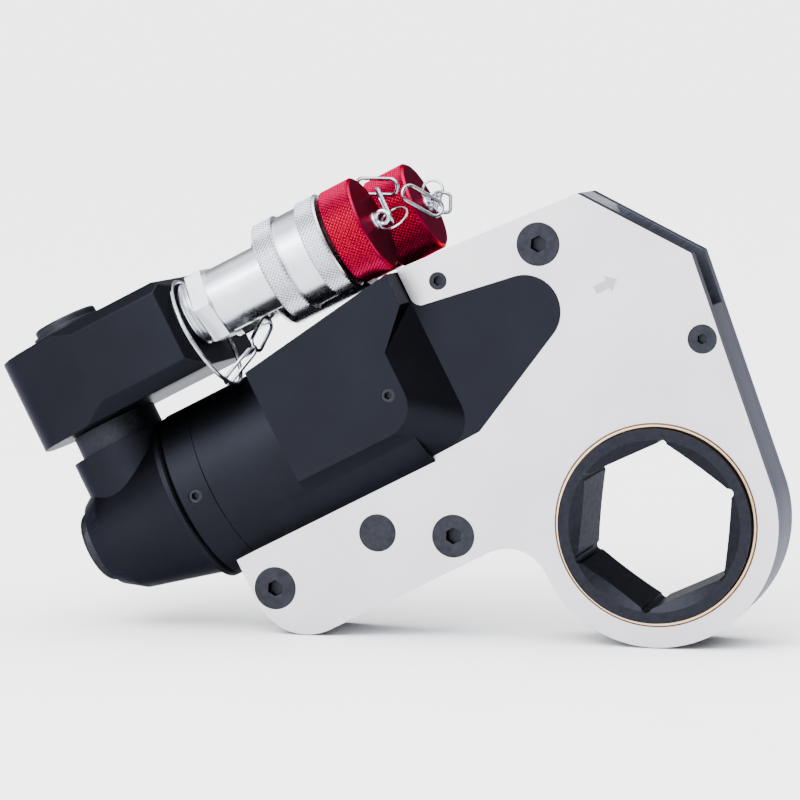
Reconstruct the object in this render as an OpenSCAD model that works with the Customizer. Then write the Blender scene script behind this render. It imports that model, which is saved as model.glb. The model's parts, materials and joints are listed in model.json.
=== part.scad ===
// Low-profile hydraulic torque wrench, standing on its ratchet ring and reaction foot.
// Row frame: origin on the ratchet axis, midway between the side plates; +Y runs away
// along the ratchet axis and +Z is up. Most pieces are drawn in the head frame, which is
// the row frame turned by the tilt: u runs forward along the cylinder, v stands square to it.

/* [Ratchet] */
// Hexagon across flats
hex_af = 41; // [36:1:42]
// Angle of a hexagon corner above the row's X axis
hex_turn = 25; // [0:0.5:60]
// Radius of the hubs that run in the bushes
hub_r = 26.9; // [25.5:0.1:27.2]
// Length of the ratchet from face to face
ratchet_len = 33; // [30:0.5:38]
// Slope of the turned mouth at each end of the hexagon
mouth_slope = 30; // [20:1:45]
// Radius of the relief in each corner of the hexagon
corner_relief = 1.3; // [0.9:0.1:1.8]
// Number of ratchet teeth, a multiple of 12
tooth_count = 36; // [36:12:48]
// Room between the tooth tips and the rim that closes the ring end
tip_room = 0.6; // [0.5:0.1:1.9]
// Depth of a tooth
tooth_depth = 2.6; // [1.8:0.1:3]
// Width of the toothed rim
tooth_w = 9; // [7:0.5:9.5]

/* [Side plates] */
// Inclination of the cylinder when the tool stands
tilt = 27; // [22:0.5:32]
// Thickness of one side plate
plate_t = 5.5; // [4:0.25:7]
// Space between the two plates
plate_gap = 16; // [15.5:0.25:18]
// Outer radius of the ring end
ring_r = 34; // [33.5:0.25:37]
// Wall of the bronze bush
bush_t = 1.3; // [0.8:0.1:2]
// Rear end of the upper arm, behind the ratchet axis
arm_rear = 34; // [31:0.5:38]
// Height of the upper arm's rear corner
arm_top = 95.2; // [94:0.1:96]
// Crown corner, ahead of the ratchet axis
crown_u = 21.3; // [17:0.1:26]
// Crown corner, above the ratchet axis
crown_v = 91.3; // [88:0.1:94]
// Back corner, ahead of the ratchet axis
back_u = 42.4; // [39:0.1:46]
// Back corner, above the ratchet axis
back_v = 62.5; // [56:0.1:68]
// Rear end of the reaction foot, behind the ratchet axis
foot_rear = 113; // [108:0.5:118]
// Corner radius of the foot
foot_r = 16; // [12:0.5:18]
// Radius of the waist between ring and foot
waist_r = 12; // [8:0.5:14]
// Height of the cylinder seat at the foot's rear
seat_rear_v = 42.5; // [41:0.1:43]
// Height of the cylinder seat at its front
seat_front_v = 44.7; // [43:0.1:46]
// Wall of the rim that closes the ring end
rim_t = 1.6; // [1:0.1:1.8]
// Radius of the large countersunk heads
screw_head_r = 6; // [5:0.25:7]
// Radius of the small countersunk heads
small_head_r = 4; // [3:0.25:5]
// Radius of the pin that holds the cylinder in the plates
hold_pin_r = 5.25; // [4:0.25:6]

/* [Cylinder] */
// Lever arm: height of the cylinder axis above the ratchet axis
axis_v = 63.5; // [62:0.25:65]
// Outer radius of the barrel
barrel_r = 25; // [24:0.25:26]
// Step of the block's sides beyond the barrel
block_step = 0.5; // [0.25:0.25:2]
// Rear face of the block, behind the ratchet axis
block_rear = 83; // [76:0.5:88]
// Width of the bevel round the block's front
block_bevel = 10; // [6:0.5:12]
// Piston bore radius
bore_r = 14; // [12:0.25:15]
// Rod radius
rod_r = 7.5; // [6:0.25:7.5]
// Length of the piston
piston_len = 14; // [12:0.5:16]
// Joint between barrel and end gland, behind the ratchet axis
gland_seam = 107; // [104:0.5:110]
// Width of the end gland's visible ring
gland_w = 10; // [7:0.5:13]
// Radius of the rounded tip of the nose cheeks
nose_r = 10; // [7:0.25:11]
// Centre of the nose tip, behind the ratchet axis
nose_back = 6.5; // [4:0.25:12]
// Centre of the nose tip, above the ratchet axis
nose_up = 68.7; // [66:0.1:70]

/* [Lever and pawls] */
// Teeth passed by the lever in one full stroke
stroke_teeth = 2; // [1:1:2]
// Thickness of one lever plate
lever_t = 2.9; // [2:0.1:3]
// Radius of the pin between lever and rod end
drive_pin_r = 5; // [4:0.25:6]
// Angle by which each pawl stands lifted off the teeth
pawl_lift = 12; // [11:0.5:13]
// Distance from a pawl's pin to its toe
pawl_reach = 17; // [15:0.5:18]
// Radius of the pawl pins
pawl_pin_r = 2.5; // [2:0.1:3]

/* [Swivels] */
// Post axis, behind the ratchet axis
post_back = 132.3; // [131:0.1:134]
// Radius of the hollow stem and of its bore in the base
stem_r = 10; // [8:0.25:11]
// Rear end radius of the swivel base
base_tail_r = 13; // [12:0.25:15]
// Rear face of the swivel base, behind the ratchet axis
base_rear = 150; // [148:0.25:152]
// Radius of the boss that seats the post
boss_r = 15.7; // [15:0.1:18]
// Top of the boss, above the ratchet axis
boss_top = 87.6; // [86:0.1:90]
// Radius of the post's collar
post_collar_r = 12.6; // [11:0.1:14]
// Radius of the post inside the swivel block
post_r = 9; // [7:0.25:10]
// Underside of the swivel block, above the ratchet axis
block_low = 94.7; // [93:0.1:95]
// Height of the swivel block
swivel_h = 27.9; // [27:0.1:31]
// Height of the couplers' axes above the block's underside
coupler_rise = 15.05; // [14.5:0.05:16]
// Half width of the swivel block
swivel_half = 28; // [27:0.25:31]
// Radius of the swivel block's round rear end
swivel_tail_r = 21.5; // [20:0.1:24]
// Front face of the swivel block, behind the ratchet axis
swivel_front = 92; // [91:0.25:94]
// Bevel along the swivel block's lower edges
low_bevel = 4.4; // [2:0.1:6]
// Bevel along the swivel block's upper edges
top_bevel = 3; // [2:0.1:6]
// Cut across the swivel block's front corners
swivel_nip = 4; // [2:0.5:6]

/* [Couplers] */
// Distance from the mid-plane to each coupler's axis
coupler_y = 15; // [14.8:0.1:18]
// Radius of the coupler tube
tube_r = 9.4; // [8.5:0.1:10]
// Across flats of the adapter hexagon
adapter_af = 20; // [18:0.5:22]
// Radius over the knurled bands of the sleeve
sleeve_r = 14.5; // [13.8:0.1:14.6]
// Length of the sleeve
sleeve_len = 20.3; // [19:0.1:22]
// Front end of the near sleeve, behind the ratchet axis
sleeve_front = 44.4; // [43:0.1:46]
// Travel of the sleeve when it is pulled back
sleeve_travel = 5; // [3:0.5:5]
// Radius of the near dust cap
near_cap_r = 14; // [13:0.1:14.5]
// Radius of the far dust cap over its knurl
far_cap_r = 13.4; // [13:0.1:14]
// Length of the near dust cap
near_cap_len = 10.1; // [8:0.1:12]
// Length of the far dust cap
far_cap_len = 22.8; // [18:0.1:24]

/* [Fits] */
// Radial running clearance of shafts, hubs and piston
run = 0.05; // [0.02:0.01:0.08]
// Gap between neighbouring pieces that move apart
gap = 0.3; // [0.25:0.05:0.5]
// Gap round the cylinder where it drops into the plates
seat_gap = 0.15; // [0.1:0.05:0.3]

/* [Hidden] */

$fn = 64;
eps = 0.01;
dip = 0.02;
black = "#34363f";
nickel = "#d6d3d7";
oxide = "#3a3b42";
steel = "#a9adb3";
zinc = "#c9cdd2";
bronze = "#c99f6c";
rubber = "#1c1c1e";
red = "#c8102e";

// Side plates
plate_in = plate_gap / 2;
plate_out = plate_in + plate_t;
bush_r = hub_r + run + bush_t;
rim_in_r = ring_r - rim_t;
tooth_tip_r = rim_in_r - tip_room;
crown = [crown_u, crown_v];
back = [back_u, back_v];
foot_c = [
    foot_r - foot_rear,
    (foot_r - ring_r - (foot_r - foot_rear) * sin(tilt)) / cos(tilt)
];
foot_v = foot_c.y - foot_r;
waist_v = foot_v - waist_r + dip;
waist_c = [-sqrt(pow(ring_r + waist_r - dip, 2) - pow(waist_v, 2)), waist_v];
seat_front_u = -arm_rear + 1;
arm_corner_r = 3.5;
screw_spots = [[5.3, 83.6], [-53, 21.7], [6.6 - foot_rear, foot_c.y + 1.3]];
screw_r = screw_head_r / 2;
screw_socket = 4;
head_rim = 0.6;
socket_depth = 2;
back_screw_u = 34.6;
back_screw_v = 40.2;
back_spot = [back_screw_u, back_screw_v];
rim_boss_r = small_head_r + 0.6;
rim_top = back_v - 15;
rim_rear_v = -10;
top_spacer_rear = 14;
top_spacer_front = 4.5;
top_spacer_room = 3.5;
foot_spacer_rise = 5;
foot_spacer_front = 42.5;
small_screw_r = small_head_r / 2;
lock_spot = [-24.7, 87.1];
lock_screw_r = 2.45;
hold_spot = [-72.3, 31.8];
lug_half = 8;
screw_reach = 8;

// Cylinder
block_half = barrel_r + block_step;
nose_c = [-nose_back, nose_up];
nose_top_v = 83.3;
block_front = arm_rear + gap;
block_top_rear = axis_v + barrel_r - 0.5;
block_top_front = arm_top - 0.6;
face_low_v = axis_v - 9.3;
kink_v = 75.4;
corner_r = 9;
wall_front = 48;
spigot_r = bore_r + 3.5;
spigot_front = block_rear + 4;
gland_rear = gland_seam + gland_w;
piston_rear = spigot_front - 1;
piston_front = piston_rear - piston_len;
piston_seal_w = 3;
piston_seal_t = 3;
piston_seal_u = -(piston_rear + piston_front + piston_seal_w) / 2;
guide_w = 2;
guide_t = 1.6;
guide_inset = 1.5;
guide_spots = [-piston_rear + guide_inset, -piston_front - guide_inset - guide_w];
bush_wall = 2.5;
rod_seal_w = 4;
rod_seal_t = 3.5;
rod_bush_w = 6;
wiper_t = 3;
rod_bush_u = rod_seal_w - wall_front;
wiper_u = rod_bush_u + rod_bush_w;
gland_edge = 0.7;
gland_seal_u = -spigot_front - 6;
plug_spot = [-48.9, 64.5];
plug_r = 2;
plug_depth = 5;
gland_screw_back = gland_seam + gland_w / 2;
tongue_low = 82.4;
tongue_front = 17;

// Ratchet, lever, rod and pawls
hex_corner_r = hex_af / 2 / cos(30);
mouth_r = hex_corner_r + 0.15;
mouth_low_r = hex_af / 2 - gap;
pitch = 360 / tooth_count;
tooth_land = 1;
tooth_rake = 0.6;
half_swing = stroke_teeth * pitch / 2;
pin_arm = axis_v / cos(half_swing);
pin_u = -axis_v * tan(half_swing);
lever_out = plate_in - gap;
lever_in = lever_out - lever_t;
web_half = lever_in - gap;
lever_room = 0.5;
lever_ring_r = rim_in_r - lever_room;
rod_tip = pin_u - 16;
end_half_v = 10;
pawl_half_w = min(web_half, tooth_w / 2);
pawl_boss_r = pawl_pin_r + 1.7;
toe_drop = tooth_depth + 2.4;
toe_bite = 0.8;
toe_r = tooth_tip_r - toe_bite;
toe_len = 3.5;
toe_lead = 2;
pin_rise = 1.5;
drive_toe = 2;
// Mirrors the drive pawl's lead, a sixth of a turn further round
holding_toe = 360 / 6 - drive_toe;
mesh = 0.3;
mesh_turn = 0.5;
lever_eye_r = drive_pin_r + 4;
lever_shoulder = 37;
spring_pin_r = pawl_pin_r - 0.5;
spring_t = 0.6;
spring_back = 1;
spring_rise = 17;
spring_side = 1;
drive_grip = 5;
holding_grip = 8;
pawl_pin_seat = 1.8;
end_neck = 3;
end_slack = 0.2;
rod_thread_r = rod_r - 3.5;
rod_thread_len = 8;

// Swivels
post_u = -post_back;
block_top = block_low + swivel_h;
coupler_v = block_low + coupler_rise;
crease_ahead = 8.9;
crease_u = post_u + crease_ahead;
head_r = 10.6;
head_h = 3.3;
head_edge = 1;
post_head_h = 4.5;
post_head_step = 2.3;
post_head_r = head_r - 1.2;
dimple_r = head_r - 3.4;
dimple = 0.5;
post_step = 1;
post_foot = axis_v + stem_r + 2.5;
stem_step = 1;
stem_seat = 9;
groove_inset = 5;
groove_edge = 3;
port_half = 4.5;
tail_corner_r = 16.9;
tail_run = 6;
cone_r = barrel_r - 2.2;
base_rim_r = barrel_r - 0.3;
base_rim_w = post_back - post_collar_r - gland_rear - gap;
base_edge = 0.7;
front_fall = 0.75;
collar_top = block_low - gap;
seal_w = 2.2;
seal_depth = 1.4;

// Couplers
thread_r = 8.6;
thread_len = 11;
spigot_len = 7;
spigot_wall = 3.4;
hex_rear = swivel_front - 3.8;
hex_w = 5;
tube_rear = hex_rear - hex_w;
sleeve_rear = sleeve_front + sleeve_len;
band_w = 6.3;
band_edge = 0.5;
line_w = 0.6;
line_depth = 0.3;
sleeve_smooth_r = sleeve_r - 0.9;
sleeve_bore = tube_r + 2.65;
front_r = tube_r + 1.5;
socket_r = front_r - 2.4;
seat_flange = sleeve_rear - 1.7;
rib_front = sleeve_front + 8.1;
rib_w = 2.5;
mouth = sleeve_front + 0.2;
front_len = 6;
flange_w = 1.5;
socket_len = 15;
poppet_u = -mouth - socket_len;
poppet_w = 2.5;
poppet_neck_r = 3.2;
poppet_tip_r = 2.6;
ball_inset = 3;
ball_r = 1.5;
ball_ring_r = socket_r + 0.8;
plug_end_r = socket_r - 0.9;
near_cap_rear = sleeve_front - 1;
far_cap_rear = 47.5;
far_body_rear = 76;
far_body_r = 14;
nipple_r = 8.2;
oil_r = 3;
spring_wire = 0.5;
spring_turns = 4;
body_edge = 0.8;
body_slope = 2.6;
nipple_len = 15;
nipple_edge = 2;
valve_in = 4;
valve_r = oil_r + 1;
valve_len = 10;
plug_len = 6.5;
plug_edge = 0.8;
cap_edge = 0.6;
cap_ring_w = 1.5;
cap_waist = 9.5;
cap_waist_step = 0.8;
cup_len = 16;
eye_foot_r = 2.4;
eye_foot_t = 1;
eye_r = 1.8;
eye_wire = 0.6;

// Head frame and placing helpers
module head() rotate([0, -tilt, 0]) children();
module slab(y0, y1) translate([0, y1, 0]) rotate([90, 0, 0]) linear_extrude(y1 - y0) children();
module both_sides() for (m = [0, 1]) mirror([0, m, 0]) children();
module across(r, h) rotate([90, 0, 0]) cylinder(r = r, h = h, center = true);
module at(p) translate([p.x, 0, p.y]) children();
module along_u(u0, u1, r) translate([u0, 0, 0]) rotate([0, 90, 0]) cylinder(h = u1 - u0, r = r);
module turned(profile) rotate([0, 90, 0]) rotate_extrude() polygon(profile);
module on_axis() translate([0, 0, axis_v]) children();
module coupler_axis(side) translate([0, side * coupler_y, coupler_v]) children();
module ring_u(u0, u1, r_in, r_out) difference() {
    along_u(u0, u1, r_out);
    along_u(u0 - 1, u1 + 1, r_in);
}
module ring_v(v0, v1, r_in, r_out) translate([0, 0, v0]) difference() {
    cylinder(h = v1 - v0, r = r_out);
    translate([0, 0, -1]) cylinder(h = v1 - v0 + 2, r = r_in);
}

// Point where a line from p just dips into a circle, on the side given by the sign
function touch(p, c, r, side) = let (
    d = p - c,
    a = atan2(d.y, d.x) + side * acos((r - dip) / norm(d))
) c + (r - dip) * [cos(a), sin(a)];
function turn(p, a) = [p.x * cos(a) - p.y * sin(a), p.x * sin(a) + p.y * cos(a)];
// Direction at a clockwise angle from the v axis
function clock(a) = [sin(a), cos(a)];
function seat_v(u) = seat_rear_v
    + (seat_front_v - seat_rear_v) * (u + foot_rear) / (seat_front_u + foot_rear);

// Saw-tooth outline whose steep flanks face the pawls
function saw(grow, slack) = [
    for (i = [0 : tooth_count - 1], p = [
        [tooth_tip_r + grow, -tooth_land - slack],
        [tooth_tip_r + grow, slack],
        [tooth_tip_r - tooth_depth + grow, tooth_rake + slack]
    ]) p[0] * [cos(i * pitch + p[1]), sin(i * pitch + p[1])]
];

// Socket-head screws and plugs, with the head at the origin and the shank along +Y
module countersunk_screw(r_head, r_shank, reach, socket) difference() {
    rotate([-90, 0, 0]) union() {
        cylinder(h = head_rim, r = r_head);
        translate([0, 0, head_rim]) cylinder(h = r_head - r_shank, r1 = r_head, r2 = r_shank);
        cylinder(h = reach, r = r_shank);
    }
    rotate([-90, 0, 0]) translate([0, 0, -eps])
        cylinder(h = r_head * 0.55, d = socket / cos(30), $fn = 6);
}
module countersink(r_head, r_shank) rotate([-90, 0, 0]) union() {
    translate([0, 0, -1]) cylinder(h = head_rim + 1, r = r_head + run);
    translate([0, 0, head_rim])
        cylinder(h = r_head - r_shank, r1 = r_head + run, r2 = r_shank + run);
    cylinder(h = plate_t + 1, r = r_shank + run);
}
module set_screw(r, reach, socket) difference() {
    rotate([-90, 0, 0]) cylinder(h = reach, r = r);
    rotate([-90, 0, 0]) translate([0, 0, -eps])
        cylinder(h = socket_depth, d = socket / cos(30), $fn = 6);
}

// Side plates and what spaces them
module nose_form(y0, y1, grow) {
    r = nose_r + grow;
    top = [-arm_rear, nose_top_v + grow];
    low = [seat_front_u, seat_front_v - grow];
    slab(y0, y1) translate(nose_c) circle(r);
    slab(y0, y1) polygon([
        [-block_rear + 1, top.y], top, touch(top, nose_c, r, -1), nose_c,
        touch(low, nose_c, r, 1), low, [-block_rear + 1, seat_v(-block_rear) - grow]
    ]);
}
module arm_corner_2d() translate([-arm_rear, nose_top_v - 0.5]) difference() {
    translate([-1, -1]) square(arm_corner_r + 1);
    translate([arm_corner_r, arm_corner_r]) circle(arm_corner_r);
}
module plate_form(y0, y1) difference() {
    union() {
        slab(y0, y1) circle(ring_r);
        intersection() {
            slab(y0, y1) translate(foot_c) circle(foot_r);
            slab(y0 - 1, y1 + 1) translate([-2 * foot_rear, 0])
                square([2 * foot_rear, foot_c.y + foot_r / 2]);
        }
        slab(y0, y1) polygon([
            [-arm_rear, arm_top], crown, back, touch(back, [0, 0], ring_r, -1), [0, 0],
            waist_c, [waist_c.x, foot_v], [foot_c.x, foot_v], foot_c, [-foot_rear, foot_c.y],
            [-foot_rear, seat_rear_v], [seat_front_u, seat_front_v], [-arm_rear, seat_front_v]
        ]);
    }
    slab(y0 - 1, y1 + 1) translate(waist_c) circle(waist_r);
}
module side_plate() head() difference() {
    plate_form(-plate_out, -plate_in);
    nose_form(-plate_out - 1, -plate_in + 1, seat_gap);
    slab(-plate_out - 1, -plate_in + 1) arm_corner_2d();
    across(bush_r, 2 * plate_out + 1);
    at(hold_spot) across(hold_pin_r + run, 2 * plate_out + 1);
    at(lock_spot) across(lock_screw_r + run, 2 * plate_out + 1);
    for (p = screw_spots) at(p) translate([0, -plate_out, 0]) countersink(screw_head_r, screw_r);
    at(back_spot) translate([0, -plate_out, 0]) countersink(small_head_r, small_screw_r);
    at(holding_pin) across(pawl_pin_r + run, plate_gap + 4);
}
module bush() head() difference() {
    slab(-plate_out, -plate_in) circle(bush_r);
    across(hub_r + run, 2 * plate_out + 2);
}
module near_side_plate() color(nickel) side_plate();
module far_side_plate() color(nickel) mirror([0, 1, 0]) side_plate();
module near_bush() color(bronze) bush();
module far_bush() color(bronze) mirror([0, 1, 0]) bush();
module plate_screws() color(oxide) head() both_sides() for (p = screw_spots)
    at(p) translate([0, -plate_out, 0])
        countersunk_screw(screw_head_r, screw_r, plate_t + screw_reach - 1, screw_socket);
module back_screws() color(oxide) head() both_sides() at(back_spot) translate([0, -plate_out, 0])
    countersunk_screw(small_head_r, small_screw_r, plate_t + screw_reach - 2, small_screw_r * 1.25);
module lock_screws() color(oxide) head() both_sides() at(lock_spot)
    translate([0, 0.3 - plate_out, 0]) set_screw(lock_screw_r, plate_t + 2, lock_screw_r);
module retaining_pin() color(oxide) head() at(hold_spot) across(hold_pin_r, 2 * plate_out);
module between_plates() slab(-plate_in - 1, plate_in + 1) children();
module screw_holes() both_sides() for (p = screw_spots)
    at(p) translate([0, -plate_out, 0]) rotate([-90, 0, 0])
        cylinder(h = plate_t + screw_reach, r = screw_r + eps);
module top_spacer() color(steel) head() difference() {
    low = axis_v + end_half_v + top_spacer_room;
    intersection() {
        plate_form(-plate_in, plate_in);
        between_plates() polygon([
            [-top_spacer_rear, low], [crown_u + top_spacer_front, low],
            [crown_u + 2 * top_spacer_front, 2 * arm_top], [-top_spacer_rear, 2 * arm_top]
        ]);
    }
    screw_holes();
}
module foot_spacer() color(steel) head() difference() {
    top = axis_v - barrel_r - gap;
    intersection() {
        plate_form(-plate_in, plate_in);
        between_plates() polygon([
            [-foot_rear - 1, 0], [-arm_rear, 0], [-arm_rear, foot_v + foot_spacer_rise],
            [-foot_spacer_front, top], [-foot_rear - 1, top]
        ]);
    }
    across(lever_ring_r + 0.5, plate_gap + 1);
    between_plates() translate([hold_spot.x - lug_half - gap, hold_spot.y - lug_half - gap])
        square([2 * (lug_half + gap), axis_v]);
    screw_holes();
}
module rim_spacer() color(nickel) head() difference() {
    intersection() {
        plate_form(-plate_in, plate_in);
        union() {
            difference() {
                between_plates() polygon([
                    [2 * ring_r, rim_top], [crown_u, rim_top], [0, 0], [-ring_r, 0],
                    [-2 * ring_r, rim_rear_v], [-2 * ring_r, -2 * ring_r], [2 * ring_r, -2 * ring_r]
                ]);
                across(rim_in_r, 2 * plate_gap);
                slab(-plate_gap, plate_gap) polygon([
                    back - rim_t * clock(90),
                    touch(back, [0, 0], ring_r, -1) * (1 - rim_t / ring_r), [0, 0], [0, back_v]
                ]);
            }
            at(back_spot) across(rim_boss_r, plate_gap + 1);
        }
    }
    at(back_spot) across(small_screw_r + eps, plate_gap + 2);
    lifted(holding_pin, pawl_lift) pawl_room(holding_pin, holding_toe);
}

// Cylinder: barrel, bevelled block, nose cheeks, lug and tongue in one body
module face_2d(inset, low) {
    front = -block_front - inset;
    translate([front - corner_r, low + corner_r]) circle(corner_r, $fn = 32);
    polygon([
        [-block_rear, low], [front - corner_r, low], [front - corner_r, low + corner_r],
        [front, low + corner_r], [front, block_top_front - 2], [-block_rear, block_top_rear]
    ]);
}
module block_form() {
    hull() {
        slab(-block_half, block_half) face_2d(block_bevel, face_low_v);
        slab(-plate_out, plate_out) face_2d(0, seat_front_v - 0.5);
    }
    slab(-block_half, block_half) polygon([
        [-block_rear, axis_v], [-block_front - block_bevel, kink_v],
        [-block_front, kink_v + block_bevel], [-block_front, block_top_front],
        [-block_rear, block_top_rear]
    ]);
}
module plate_seats() both_sides() slab(-plate_out - seat_gap, -plate_in + seat_gap) polygon([
    [-foot_rear - gap, 0], [seat_front_u, 0], [seat_front_u, seat_front_v + seat_gap],
    [-foot_rear - gap, seat_v(-foot_rear - gap) + seat_gap]
]);
module cylinder_body() color(black) head() difference() {
    union() {
        on_axis() along_u(-gland_seam, -wall_front, barrel_r);
        block_form();
        both_sides() nose_form(-plate_out, -plate_in, 0);
        both_sides() slab(-plate_out, -plate_in) intersection() {
            arm_corner_2d();
            translate([-arm_rear - 1, nose_top_v - 2]) square(arm_corner_r + 1);
        }
        slab(gap / 2 - plate_in, plate_in - gap / 2)
            translate([hold_spot.x - lug_half, hold_spot.y - lug_half])
                square([2 * lug_half, axis_v - barrel_r - hold_spot.y + lug_half + 4]);
        slab(gap / 2 - plate_in, plate_in - gap / 2) translate([-block_front - 2, tongue_low])
            square([block_front + 2 - tongue_front, block_top_front - tongue_low - 1]);
    }
    plate_seats();
    on_axis() {
        along_u(-spigot_front, -wall_front, bore_r);
        along_u(-gland_seam - 1, -spigot_front + gap, spigot_r + eps);
        along_u(-wall_front - 1, -block_front + 1, rod_r + run + gap);
        along_u(-wall_front - eps, rod_bush_u, rod_r + rod_seal_t + eps);
        along_u(rod_bush_u, wiper_u, rod_r + bush_wall + eps);
        along_u(wiper_u, -block_front + 1, rod_r + wiper_t + eps);
    }
    at(hold_spot) across(hold_pin_r + run, 2 * plate_out);
    at(lock_spot) across(lock_screw_r + run, 2 * plate_out);
    both_sides() at(plug_spot) translate([0, -block_half - 1, 0]) rotate([-90, 0, 0])
        cylinder(h = plug_depth + 1, r = plug_r + eps);
}
module rod_bush() color(bronze) head() on_axis()
    ring_u(rod_bush_u, wiper_u, rod_r + run, rod_r + bush_wall);
module rod_seal() color(rubber) head() on_axis()
    ring_u(-wall_front, rod_bush_u - seat_gap, rod_r + run, rod_r + rod_seal_t);
module rod_wiper() color(rubber) head() on_axis()
    ring_u(wiper_u, -block_front, rod_r + run, rod_r + wiper_t);
module end_gland() color(black) head() difference() {
    on_axis() difference() {
        turned([
            [0, -gland_rear], [barrel_r - gland_edge, -gland_rear],
            [barrel_r, -gland_rear + gland_edge], [barrel_r, -gland_seam - gap],
            [barrel_r - gap, -gland_seam],
            [spigot_r, -gland_seam], [spigot_r, -spigot_front], [0, -spigot_front]
        ]);
        along_u(-gland_rear - 1, -gland_rear + stem_seat, stem_r - stem_step + eps);
        along_u(-gland_rear, -spigot_front + 1, oil_r);
        ring_u(gland_seal_u, gland_seal_u + seal_w, spigot_r - seal_depth, spigot_r + 1);
    }
    plate_seats();
    at([-gland_screw_back, axis_v]) translate([0, -barrel_r - 1, 0]) rotate([-90, 0, 0])
        cylinder(h = plug_depth + 1, r = plug_r + eps);
}
module gland_seal() color(rubber) head() on_axis()
    ring_u(gland_seal_u, gland_seal_u + seal_w, spigot_r - seal_depth, spigot_r);
module gland_set_screw() color(oxide) head() at([-gland_screw_back, axis_v])
    translate([0, -barrel_r + 0.3, 0]) set_screw(plug_r, plug_depth - 0.4, plug_r);
module port_plugs() color(oxide) head() both_sides() at(plug_spot)
    translate([0, -block_half + 0.3, 0]) set_screw(plug_r, plug_depth - 0.4, plug_r);

// Piston, rod and slotted rod end
module piston() color(steel) head() on_axis() difference() {
    along_u(-piston_rear, -piston_front, bore_r - run);
    ring_u(piston_seal_u, piston_seal_u + piston_seal_w, bore_r - piston_seal_t, bore_r + 1);
    for (u = guide_spots) ring_u(u, u + guide_w, bore_r - guide_t, bore_r + 1);
    along_u(-piston_rear + guide_w, -piston_front + 1, rod_r - guide_w + eps);
}
module piston_seal() color(rubber) head() on_axis()
    ring_u(piston_seal_u, piston_seal_u + piston_seal_w, bore_r - piston_seal_t, bore_r - run);
module piston_guide_rings() color(bronze) head() on_axis() for (u = guide_spots)
    ring_u(u, u + guide_w, bore_r - guide_t, bore_r - run);
module piston_rod() color(zinc) head() on_axis() difference() {
    union() {
        along_u(-piston_front, rod_tip, rod_r);
        along_u(-piston_rear + guide_w, -piston_front, rod_r - guide_w);
    }
    along_u(rod_tip - rod_thread_len, rod_tip + 1, rod_thread_r + eps);
}
module rod_end() color(steel) head() union() {
    slot_r = drive_pin_r + end_slack;
    difference() {
        union() {
            slab(-web_half, web_half) translate([rod_tip, axis_v - end_half_v + end_neck])
                square([pin_u - rod_tip, 2 * (end_half_v - end_neck)]);
            slab(-web_half, web_half) translate([pin_u - lever_eye_r, axis_v - end_half_v])
                square([2 * drive_pin_r + 4, 2 * end_half_v]);
            intersection() {
                at([pin_u + drive_pin_r, axis_v]) across(end_half_v, 2 * web_half);
                slab(-web_half, web_half) translate([pin_u, axis_v - end_half_v])
                    square([drive_pin_r + 4, 2 * end_half_v]);
            }
        }
        for (v = [axis_v - gap, pin_arm + gap]) at([pin_u, v]) across(slot_r, plate_gap);
        slab(-plate_in, plate_in) translate([pin_u - slot_r, axis_v - gap])
            square([2 * slot_r, pin_arm - axis_v + 2 * gap]);
    }
    on_axis() along_u(rod_tip - rod_thread_len, rod_tip + 1, rod_thread_r);
}

// Lever, drawn with its arm along v and then swung back to the start of the stroke
module at_rest() rotate([0, -half_swing, 0]) children();
function pawl_pin(toe) = (toe_r + pin_rise) * clock(toe) - pawl_reach * [cos(toe), -sin(toe)];
drive_pin = pawl_pin(drive_toe);
holding_pin = pawl_pin(holding_toe);
spring_spot = [-spring_back, toe_r + spring_rise];
module lever_plate() head() at_rest() difference() {
    union() {
        slab(-lever_out, -lever_in) circle(lever_ring_r);
        slab(-lever_out, -lever_in) translate([0, pin_arm]) circle(lever_eye_r);
        slab(-lever_out, -lever_in) polygon([
            (lever_ring_r - 1) * [-cos(lever_shoulder), sin(lever_shoulder)],
            drive_pin + [-pawl_boss_r - 2.5, 3.5], [1 - lever_eye_r, pin_arm],
            [lever_eye_r - 1, pin_arm], [lever_eye_r - 1, toe_r - 1]
        ]);
    }
    across(hub_r + run, 2 * plate_gap);
    at([0, pin_arm]) across(drive_pin_r + eps, 2 * plate_gap);
    at(drive_pin) across(pawl_pin_r + eps, 2 * plate_gap);
    at(spring_spot) across(spring_pin_r + eps, 2 * plate_gap);
}
module near_lever_plate() color(steel) lever_plate();
module far_lever_plate() color(steel) mirror([0, 1, 0]) lever_plate();
module lever_pin() color(zinc) head() at_rest() at([0, pin_arm])
    across(drive_pin_r, 2 * lever_out);
module drive_pawl_pin() color(zinc) head() at_rest() at(drive_pin)
    across(pawl_pin_r, 2 * lever_out);
module spring_pin() color(zinc) head() at_rest() at(spring_spot)
    across(spring_pin_r, 2 * lever_out);
// A pawl lies along +x from its pin, with its toe reaching down into the teeth
module pawl_form(pin, toe) difference() {
    nose = pawl_reach + toe_len;
    heel = pawl_reach - toe_lead;
    union() {
        slab(-pawl_half_w, pawl_half_w) translate(pin) circle(pawl_boss_r);
        slab(-pawl_half_w, pawl_half_w) translate(pin) rotate(-toe) polygon([
            [0, pawl_boss_r], [heel, pawl_boss_r], [nose, pin_rise], [nose, -toe_drop],
            [heel, -toe_drop], [heel - 1, 0], [pawl_boss_r, -1], [0, -pawl_boss_r + run]
        ]);
    }
    slab(-plate_in, plate_in) polygon(saw(mesh, mesh_turn));
    at(pin) across(pawl_pin_r + run, 2 * plate_gap);
}
module pawl_room(pin, toe) {
    nose = pawl_reach + toe_len + gap;
    between_plates() translate(pin) rotate(-toe) polygon([
        [0, pawl_boss_r + gap], [nose - toe_len - toe_lead, pawl_boss_r + gap],
        [nose, pin_rise + gap], [nose, -toe_drop - gap], [0, -toe_drop - gap]
    ]);
}
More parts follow.
